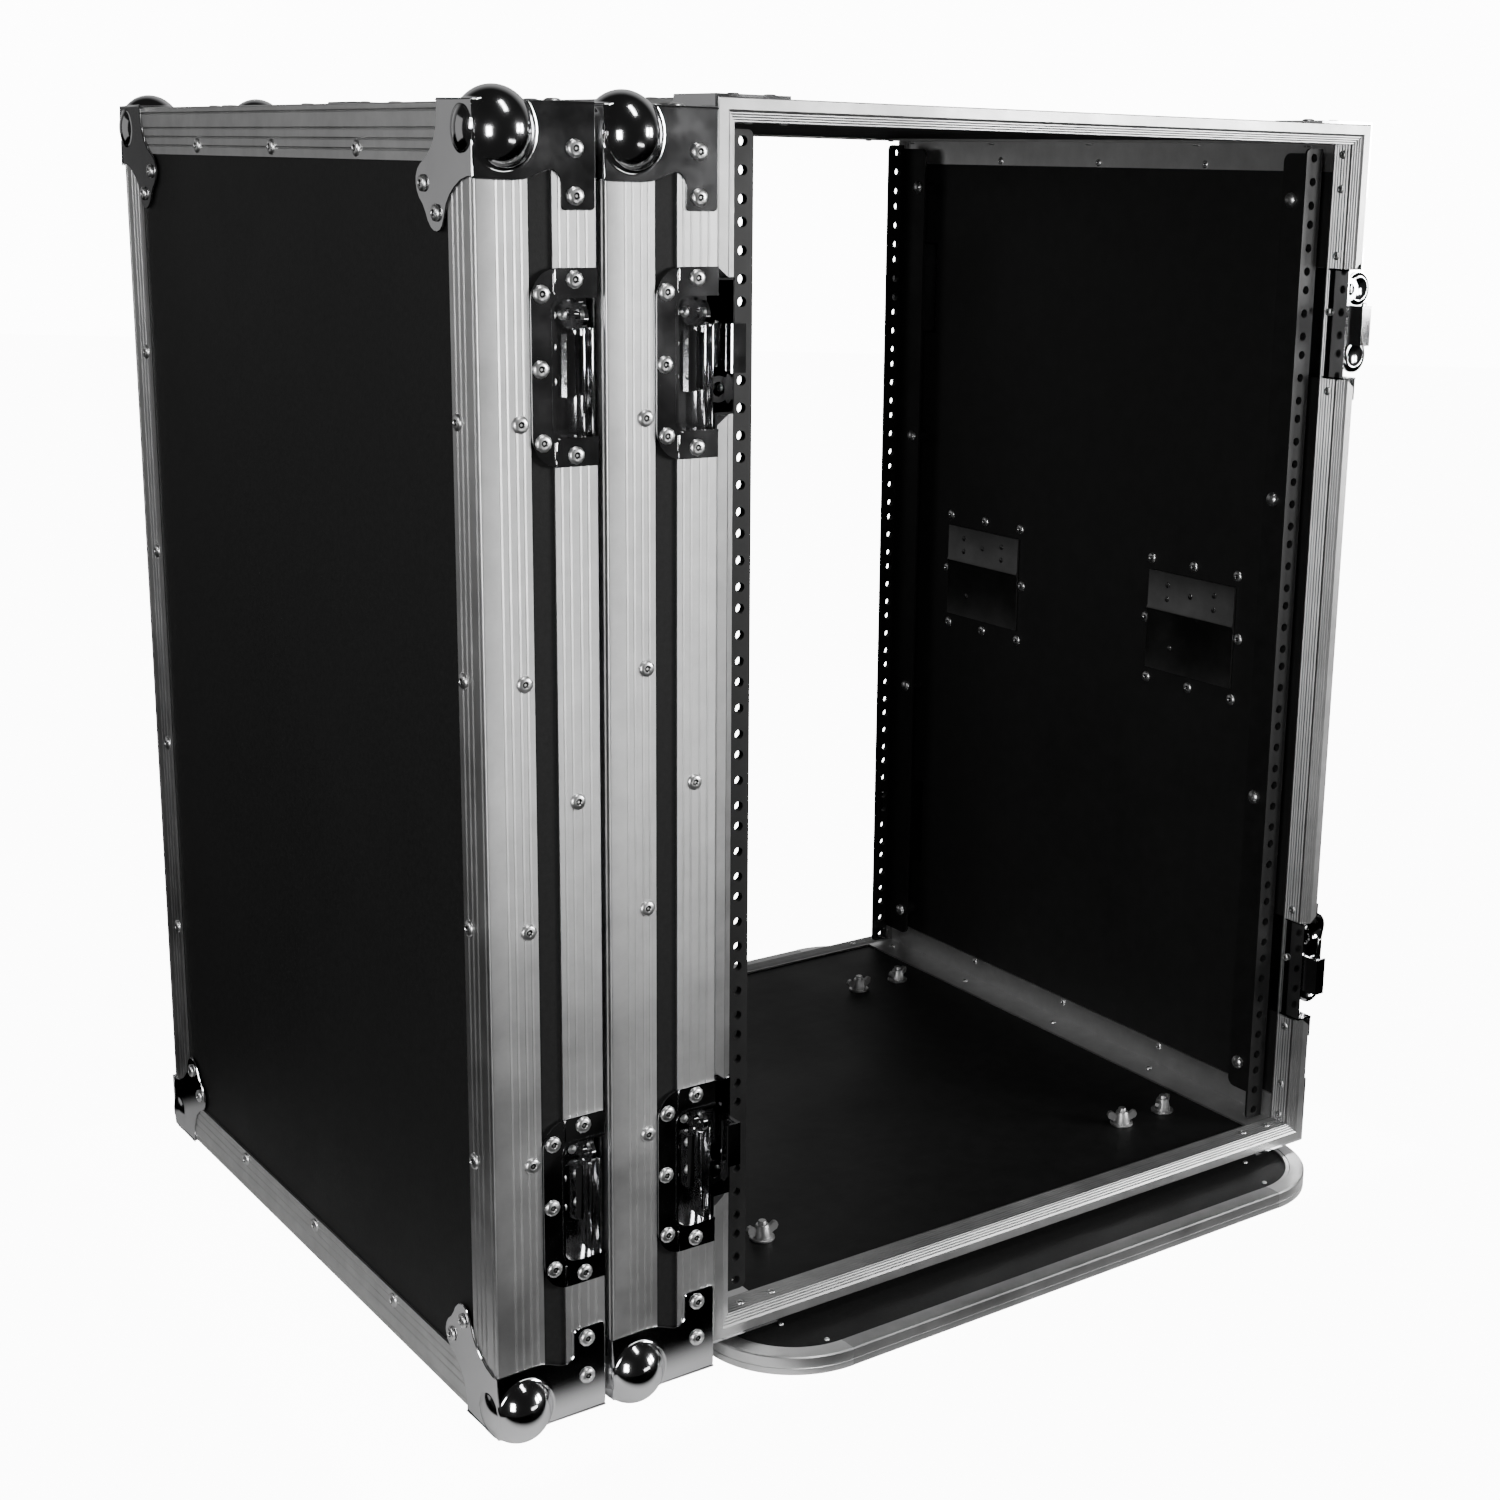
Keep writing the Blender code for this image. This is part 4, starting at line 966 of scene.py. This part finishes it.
cornerSpec = {
    "radius": 22.5,
    "depth": 20.5,          # the ball is slightly flattened towards the lid's face
    "segments": 48,
    "proudFace": 4.4,
    "proudSide": 12.8,
    "proudEnd": {"top": 9.0, "bottom": 10.5},
    "proud": 1.2,
    "fillet": 4.0,
    "strap": [(69.0, -1.8), (69.0, 50.8), (68.3, 52.6), (66.5, 53.3), (51.0, 53.3), (49.4, 52.6),
              (48.8, 51.0), (48.8, 40.5), (48.4, 37.4), (47.0, 35.0), (44.6, 33.4), (41.4, 33.2),
              (37.0, 34.8), (32.0, 37.0), (27.0, 38.2), (21.0, 38.7), (10.0, 38.5), (-1.8, 38.2)],
    "leaf": [(38.6, -1.8), (38.8, 6.0), (39.6, 11.4), (41.6, 16.6), (45.0, 21.6), (49.2, 25.6), (54.0, 28.6),
             (59.0, 31.0), (62.6, 33.8), (64.7, 37.6), (64.9, 41.4), (63.8, 45.2), (61.2, 49.0), (57.2, 52.2),
             (54.2, 56.0), (51.4, 60.6), (47.8, 64.0), (44.4, 65.6), (40.6, 65.9), (37.2, 64.9), (34.4, 62.6),
             (32.2, 58.4), (29.4, 51.6), (25.2, 46.8), (20.0, 43.0), (12.5, 39.2), (4.9, 37.4), (-1.8, 37.0)],
}


def makeCorner(number, end, level):
    spec = cornerSpec
    radius, proud, fillet, segments = spec["radius"], spec["proud"], spec["fillet"], spec["segments"]
    signY, signZ = signs[end], signs[level]
    outward = Vector((-lids["depth"], signY * lids["halfWidth"], signZ * lids["halfHeight"]))
    corner = lidPlace(number) + outward

    def place(d, a, b):
        # d towards the mating edge, a in from the side, b in from the top or bottom
        return corner + Vector((d, -signY * a, -signZ * b))

    flat = spec["depth"] / radius
    middle = [spec["depth"] - spec["proudFace"], radius - spec["proudSide"], radius - spec["proudEnd"][level]]
    work = bmesh.new()
    made = bmesh.ops.create_uvsphere(work, u_segments=segments, v_segments=32, radius=radius)["verts"]
    bmesh.ops.scale(work, vec=(flat, 1, 1), verts=made)
    bmesh.ops.translate(work, vec=place(*middle), verts=made)
    ball = finishMesh("cornerBall", work, "chromedSteel")
    carve(ball, [makeTool(addBox, place(-0.3, -0.3, -0.3), place(200, 200, 200))])
    work = reopen(ball)
    strap, leaf = ([(-proud, 0.4 - proud), (0.4 - proud, -proud)] + spec[key] for key in ("strap", "leaf"))
    addSlab(work, strap, 0.3, proud, lambda a, b, c: place(a, -c, b))
    addSlab(work, strap, 0.3, proud, lambda a, b, c: place(a, b, -c))
    addSlab(work, leaf, 0.3, proud, lambda a, b, c: place(-c, a, b))
    # soft fillet between the ball and each plate
    for axis in range(3):
        sunk = middle[axis] + proud     # the plate lies this far out from the ball's centre
        if axis == 0:
            sunk /= flat
        reach = math.sqrt((radius + fillet) ** 2 - (sunk + fillet) ** 2)
        tilt = math.degrees(math.atan2(sunk + fillet, reach))
        profile = arc((reach, fillet), fillet, -90, -180 + tilt, 7)
        last = profile[-1]
        profile += [(last[0] - 2.5, last[1] - 1.0), (last[0] - 2.5, -0.8), (reach, -0.5)]
        foot = list(middle)
        foot[axis] = -proud
        others = [i for i in range(3) if i != axis]
        rows = []
        for k in range(segments):
            angle = 2 * math.pi * k / segments
            row = []
            for r, h in profile:
                point = list(foot)
                point[axis] -= h
                point[others[0]] += r * math.cos(angle) * (1 if axis == 0 else flat)
                point[others[1]] += r * math.sin(angle)
                for i in others:
                    point[i] = max(point[i], -proud - 0.15)
                row.append(work.verts.new(place(*point)))
            rows.append(row)
        skin(work, rows)
    obj = finishMesh("lid%dCorner_%s_%s" % (number, level, end), work, "chromedSteel", 40.0)
    ready(obj, "lid_%d" % number, "lid_%d_corner_%s_%s" % (number, level, end), slot="chrome")


for number in (1, 2):
    makeLidTrim(number)
    makeLidFrame(number)
    makeKeepers(number)
    for end in ("front", "rear"):
        for level in ("top", "bottom"):
            makeCorner(number, end, level)
print("lids ready")


rivetSpec = {
    "pop": 1.1,
    "tail": 0.66,           # small tails inside the case
    "screw": 1.161,
    "seed": 7,
    "headProfile": [(4.5, -0.2), (4.3, 0.7), (3.1, 1.35), (1.9, 1.5), (1.5, 0.9), (0.9, 0.8), (0, 1.05)],
    "domeProfile": [(4.5, -0.2), (4.4, 0.9), (3.5, 2.0), (1.9, 2.7), (0, 2.9)],
    "core": (0.5, 1.6),     # radii of the ring of painted shade in the rivet's hole
}


def makeHead(name, profile, sides, core=None):
    work = bmesh.new()
    layer = work.verts.layers.float.new("core") if core else None
    for vert in addTurned(work, profile, sides, lambda a, b, c: Vector((a, b, c))):
        if core:
            # marks the ring of painted hole shade on the head
            vert[layer] = 1.0 if core[0] < math.hypot(vert.co.x, vert.co.y) < core[1] else 0.0
    return finishMesh(name, work, "rivetSteel", 60.0)


def makeScatterTree():
    tree = bpy.data.node_groups.new("placeHeads", "GeometryNodeTree")
    wanted = {"Geometry": "Geometry", "Head": "Object", "Finish": "Material", "Seed": "Int"}
    for label, kind in wanted.items():
        tree.interface.new_socket(label, in_out="INPUT", socket_type="NodeSocket" + kind)
    tree.interface.new_socket("Geometry", in_out="OUTPUT", socket_type="NodeSocketGeometry")
    start, end = tree.nodes.new("NodeGroupInput"), tree.nodes.new("NodeGroupOutput")
    given = start.outputs
    head = addNode(tree, "GeometryNodeObjectInfo", Object=given["Head"])
    facing = addNode(tree, "GeometryNodeInputNamedAttribute", {"data_type": "FLOAT_VECTOR"}, Name="facing")
    size = addNode(tree, "GeometryNodeInputNamedAttribute", {"data_type": "FLOAT"}, Name="size")
    align = addNode(tree, "FunctionNodeAlignRotationToVector", {"axis": "Z"},
                    Vector=facing.outputs["Attribute"])
    chance = addNode(tree, "FunctionNodeRandomValue", {"data_type": "FLOAT"}, i3=6.283, Seed=given["Seed"])
    turn = addNode(tree, "ShaderNodeCombineXYZ", Z=chance.outputs[1])
    spin = addNode(tree, "FunctionNodeRotateRotation", {"rotation_space": "LOCAL"},
                   Rotation=align.outputs["Rotation"])
    tree.links.new(turn.outputs[0], spin.inputs["Rotate By"])
    placed = addNode(tree, "GeometryNodeInstanceOnPoints", Points=given["Geometry"],
                     Instance=head.outputs["Geometry"], Rotation=spin.outputs["Rotation"],
                     Scale=size.outputs["Attribute"])
    solid = addNode(tree, "GeometryNodeRealizeInstances", Geometry=placed.outputs["Instances"])
    finish = addNode(tree, "GeometryNodeSetMaterial", Geometry=solid.outputs["Geometry"],
                     Material=given["Finish"])
    tree.links.new(finish.outputs["Geometry"], end.inputs["Geometry"])
    return tree


scatterTree = makeScatterTree()


def placeHeads(name, spots, head, body):
    # spots are (point, direction, size)
    mesh = bpy.data.meshes.new(name)
    mesh.from_pydata([tuple(Vector(point) / 1000) for point, direction, size in spots], [], [])
    mesh.attributes.new("facing", "FLOAT_VECTOR", "POINT")
    mesh.attributes.new("size", "FLOAT", "POINT")
    for i, (point, direction, size) in enumerate(spots):
        mesh.attributes["facing"].data[i].vector = Vector(direction).normalized()
        mesh.attributes["size"].data[i].value = size
    obj = bpy.data.objects.new(name, mesh)
    scene.collection.objects.link(obj)
    modifier = obj.modifiers.new("placeHeads", "NODES")
    modifier.node_group = scatterTree
    sockets = {item.name: item.identifier for item in scatterTree.interface.items_tree
               if item.item_type == "SOCKET" and item.in_out == "INPUT"}
    modifier[sockets["Head"]] = head
    modifier[sockets["Finish"]] = materials["rivetSteel"]
    modifier[sockets["Seed"]] = rivetSpec["seed"]
    view.update()
    plain = bpy.data.meshes.new_from_object(obj.evaluated_get(bpy.context.evaluated_depsgraph_get()))
    obj.modifiers.clear()
    obj.data = plain
    bpy.data.meshes.remove(mesh)
    for other in ("facing", "size"):
        if other in plain.attributes:
            plain.attributes.remove(plain.attributes[other])
    ready(obj, body, slot="chrome")


def lidRivets(number):
    origin = lidPlace(number)
    spots = []
    pop = rivetSpec["pop"]
    faceX, middleY = origin.x - lids["depth"], origin.y
    halfY, halfZ = lids["halfWidth"], lids["halfHeight"]

    def add(x, y, z, direction, size=pop):
        spots.append(((x, y, z), direction, size))

    for side in (-1, 1):
        y = middleY + side * halfY
        outward = (0, side, 0)
        for z in (-209, -70, 70, 209):
            add(faceX + 24, y, origin.z + z, outward)
            add(faceX, middleY + side * (halfY - 24), origin.z + z, (-1, 0, 0))
        add(origin.x - 14.5, y, origin.z, outward)
        for level in (-1, 1):
            z = origin.z + level * case["latchSpread"]
            for back, dz in ((14, -46), (14, 46), (33.5, -38.7), (33.5, 38.7), (34.5, 0)):
                add(origin.x - back, y + side * 1.5, z + dz, outward)
            edge = origin.z + level * halfZ
            for down in (22, 46):
                add(origin.x - 13, y + side * 1.8, edge - level * down, outward)
                add(origin.x - 13, middleY + side * (halfY - down), edge + level * 1.8, (0, 0, level))
            for a, b in ((55.6, 41.2), (40.8, 56.0)):
                add(faceX - 1.8, middleY + side * (halfY - a), edge - level * b, (-1, 0, 0), pop * 0.95)
    for level in (-1, 1):
        z = origin.z + level * halfZ
        for y in (-122, 0, 122):
            add(faceX, middleY + y, z - level * 24, (-1, 0, 0))
            add(faceX + 24, middleY + y, z, (0, 0, level))
        for y in (-70, 70):
            add(origin.x - 14.5, middleY + y, z, (0, 0, level))
    return spots


def caseRivets():
    spots = []
    pop, tail = rivetSpec["pop"], rivetSpec["tail"]
    halfX, halfY, middle = case["halfWidth"], case["halfDepth"], case["middle"]
    inner = halfX - case["wall"]
    edges = [(level, middle + level * case["halfHeight"]) for level in (-1, 1)]

    def add(x, y, z, direction, size=pop):
        spots.append(((x, y, z), direction, size))

    for side in (-1, 1):
        outward, inward = (side, 0, 0), (-side, 0, 0)
        for sign in (-1, 1):
            for z in (742, 719, 674, 581, 199, 107, 61, 36):
                add(side * inner, sign * (halfY - 12.5), z, inward, tail)
            for level, edge in edges:
                z = middle + level * case["latchSpread"]
                for y, dz in ((62.0, 0.0), (60.0, 38.0), (60.0, -38.0), (30.0, 46.0), (30.0, -46.0)):
                    add(side * (halfX + 1.5), sign * (halfY - y), z + dz, outward)
                add(side * inner, sign * (halfY - 16.5), z + 8.0, inward, tail * 0.9)
                for x in (243.0, 218.5):
                    add(side * x, sign * (halfY - 17), edge + level * 1.4, (0, 0, level), pop * 0.9)
                for down in (20.0, 44.5):
                    add(side * (halfX + 1.8), sign * (halfY - 17), edge - level * down, outward, pop * 0.9)
                for x, back in ((212.0, 12.5), (236.0, 12.0)):
                    add(side * x, sign * (halfY - back), edge - level * 13.0, (0, 0, -level), tail * 0.9)
        for y in (-224.0, -116.0, 0.0, 118.0, 224.0):
            for level, high, flat in ((-1, 46.0, 32.5), (1, 734.0, 747.5)):
                add(side * 250.0, y, high, inward, tail)
                add(side * 236.0, y - 4.0, flat, (0, 0, -level), tail)
        for y in (-125.0, 125.0):
            for dy, dz in ((-46, 47), (0, 47), (46, 47), (-46, -47), (0, -47), (46, -47), (-50, 0), (50, 0)):
                add(side * 251.8, y + dy, middle + dz, inward, pop * 0.86)
                add(side * halfX, y + dy, middle + dz * 0.98, outward, pop * 0.86)
        for y in (-150.0, 0.0, 150.0):
            for level, edge in edges:
                add(side * halfX, y, edge - level * 24, outward)
                add(side * (halfX - 24), y, edge, (0, 0, level))
    return spots


def railScrews():
    x = railSpec["inner"] + railSpec["face"] - railSpec["sheet"]
    y = railSpec["plane"] - railSpec["screwDepth"]
    spots = [((side * x, sign * y, case["middle"] + z), (-side, 0, 0), rivetSpec["screw"])
             for side in (-1, 1) for sign in (-1, 1) for z in railSpec["screws"]]
    for x, y in ((-209.0, -255.0), (-196.0, -287.0), (209.0, -255.0), (196.0, -287.0)):
        spots.append(((x, y, 10.2), (0, 0, 1), 0.4))
    return spots


popHead = makeHead("rivetHead", rivetSpec["headProfile"], 10, rivetSpec["core"])
domeHead = makeHead("domeHead", rivetSpec["domeProfile"], 12)
placeHeads("caseRivets", caseRivets(), popHead, "case")
placeHeads("railScrews", railScrews(), domeHead, "case")
for number in (1, 2):
    placeHeads("lid%dRivets" % number, lidRivets(number), popHead, "lid_%d" % number)
for body, spots in innerHeads.items():
    placeHeads(body + "InnerHeads", spots, domeHead, body)
bpy.data.objects.remove(popHead)
bpy.data.objects.remove(domeHead)
print("rivets ready")


studio = {
    "backdrop": 13.0,        # what the camera sees behind the case
    "floorGlow": 12.0,
    "litFloor": (-0.008, 0.022),   # metres round the case over which the painted pool of light fades to dark
    "floorTone": 0.88,
    "room": 0.014,           # dim room all round
    "behind": 0.5,           # and the brighter wall behind the case
    "behindWay": (0.58, 0.78, 0.05),
    # place, target, size and power
    "lamps": {
        "keyLeft": ((1.87, -2.45, 0.9), (0, -0.2, 0.4), (0.4, 0.8), 43.0),
        "keyRight": ((2.4, -1.95, 0.9), (0, -0.2, 0.4), (0.4, 0.8), 43.0),
        "front": ((-1.75, -1.55, 0.55), (-0.3, -0.2, 0.45), (0.45, 0.7), 24.0),
        "fill": ((-2.2, 2.1, 0.7), (-0.35, -0.1, 0.4), (1.6, 1.6), 2.6),
        "side": ((-2.37, 0.0, 1.05), (-0.42, -0.2, 0.5), (0.35, 0.55), 12.0),
        "low": ((0.2, -1.4, 0.1), (-0.38, -0.27, 0.25), (0.5, 0.12), 1.2),
        "top": ((-0.135, -1.165, 2.26), (-0.4, -0.26, 0.74), (0.3, 0.9), 14.0),
    },
}


def makeWorld():
    world = bpy.data.worlds.new("studio")
    scene.world = world
    world.use_nodes = True
    tree = world.node_tree
    background = tree.nodes["Background"]
    where = addNode(tree, "ShaderNodeTexCoord").outputs["Generated"]
    toward = addNode(tree, "ShaderNodeVectorMath", {"operation": "DOT_PRODUCT"}, i0=where,
                     i1=studio["behindWay"])
    ramp = addNode(tree, "ShaderNodeMapRange", {"interpolation_type": "SMOOTHSTEP"},
                   i0=toward.outputs["Value"], i1=0.45, i2=0.95, i3=studio["room"], i4=studio["behind"])
    seen = addNode(tree, "ShaderNodeLightPath").outputs["Is Camera Ray"]
    strength = addNode(tree, "ShaderNodeMix", Factor=seen, A=ramp.outputs[0], B=studio["backdrop"])
    tree.links.new(strength.outputs["Result"], background.inputs["Strength"])
    background.inputs["Color"].default_value = (1, 1, 1, 1)


def makeFloor():
    # white to the camera; to the rest of the scene its colour is a painted pool of light under the case,
    # painted dark further out
    work = bmesh.new()
    eye = Vector((-934.0, -1311.0, 0))
    forward, across = Vector((0.604, 0.797, 0)), Vector((0.797, -0.604, 0))
    near, far = eye + forward * 1010, eye + forward * 9000
    points = [near - across * 4000, near + across * 4000, far + across * 9000, far - across * 9000]
    work.faces.new([work.verts.new(Vector((p.x, p.y, -0.2))) for p in points])
    material = bpy.data.materials.new("paleFloor")
    material.use_nodes = True
    tree = material.node_tree
    shader = tree.nodes["Principled BSDF"]
    where = addNode(tree, "ShaderNodeTexCoord").outputs["Object"]
    shifted = addNode(tree, "ShaderNodeVectorMath", i0=where, i1=(0.07, 0, 0))
    apart = addNode(tree, "ShaderNodeVectorMath", {"operation": "ABSOLUTE"}, i0=shifted.outputs[0])
    beyond = addNode(tree, "ShaderNodeVectorMath", {"operation": "SUBTRACT"}, i0=apart.outputs[0],
                     i1=(0.42, 0.30, 0))
    away = addNode(tree, "ShaderNodeSeparateXYZ", i0=beyond.outputs[0])
    furthest = addNode(tree, "ShaderNodeMath", {"operation": "MAXIMUM"}, i0=away.outputs["X"],
                       i1=away.outputs["Y"])
    # painted pool of light: pale under the case, fading to black beyond
    tint = addNode(tree, "ShaderNodeMapRange", {"interpolation_type": "SMOOTHSTEP"}, i0=furthest.outputs[0],
                   i1=studio["litFloor"][0], i2=studio["litFloor"][1], i3=studio["floorTone"], i4=0.0)
    tree.links.new(tint.outputs[0], shader.inputs["Base Color"])
    shader.inputs["Roughness"].default_value = 0.6
    shader.inputs["Specular IOR Level"].default_value = 0.0
    seen = addNode(tree, "ShaderNodeLightPath").outputs["Is Camera Ray"]
    glow = addNode(tree, "ShaderNodeMath", {"operation": "MULTIPLY"}, i0=seen, i1=studio["floorGlow"])
    shader.inputs["Emission Color"].default_value = (1, 1, 1, 1)
    tree.links.new(glow.outputs[0], shader.inputs["Emission Strength"])
    materials["paleFloor"] = material
    finishMesh("floor", work, "paleFloor")


def addLight(name, place, target, size, power):
    light = bpy.data.lights.new(name, "AREA")
    light.shape = "RECTANGLE"
    light.size, light.size_y = size
    light.energy = power
    obj = bpy.data.objects.new(name, light)
    obj.location = place
    obj.rotation_euler = (Vector(target) - Vector(place)).to_track_quat("-Z", "Y").to_euler()
    scene.collection.objects.link(obj)


makeWorld()
makeFloor()
for name, lamp in studio["lamps"].items():
    addLight(name, *lamp)

camera = bpy.data.cameras.new("camera")
camera.sensor_width = 36.0
camera.lens = 53.26
camera.shift_x = -0.0950
camera.shift_y = -0.0386
cameraObject = bpy.data.objects.new("camera", camera)
cameraObject.matrix_world = Matrix((
    (0.798985, 0.120679, -0.589117, -0.93436),
    (-0.600938, 0.196541, -0.774755, -1.310678),
    (0.022289, 0.973041, 0.229554, 0.725977),
    (0, 0, 0, 1),
))
scene.collection.objects.link(cameraObject)
scene.camera = cameraObject
print("studio ready")

view.update()
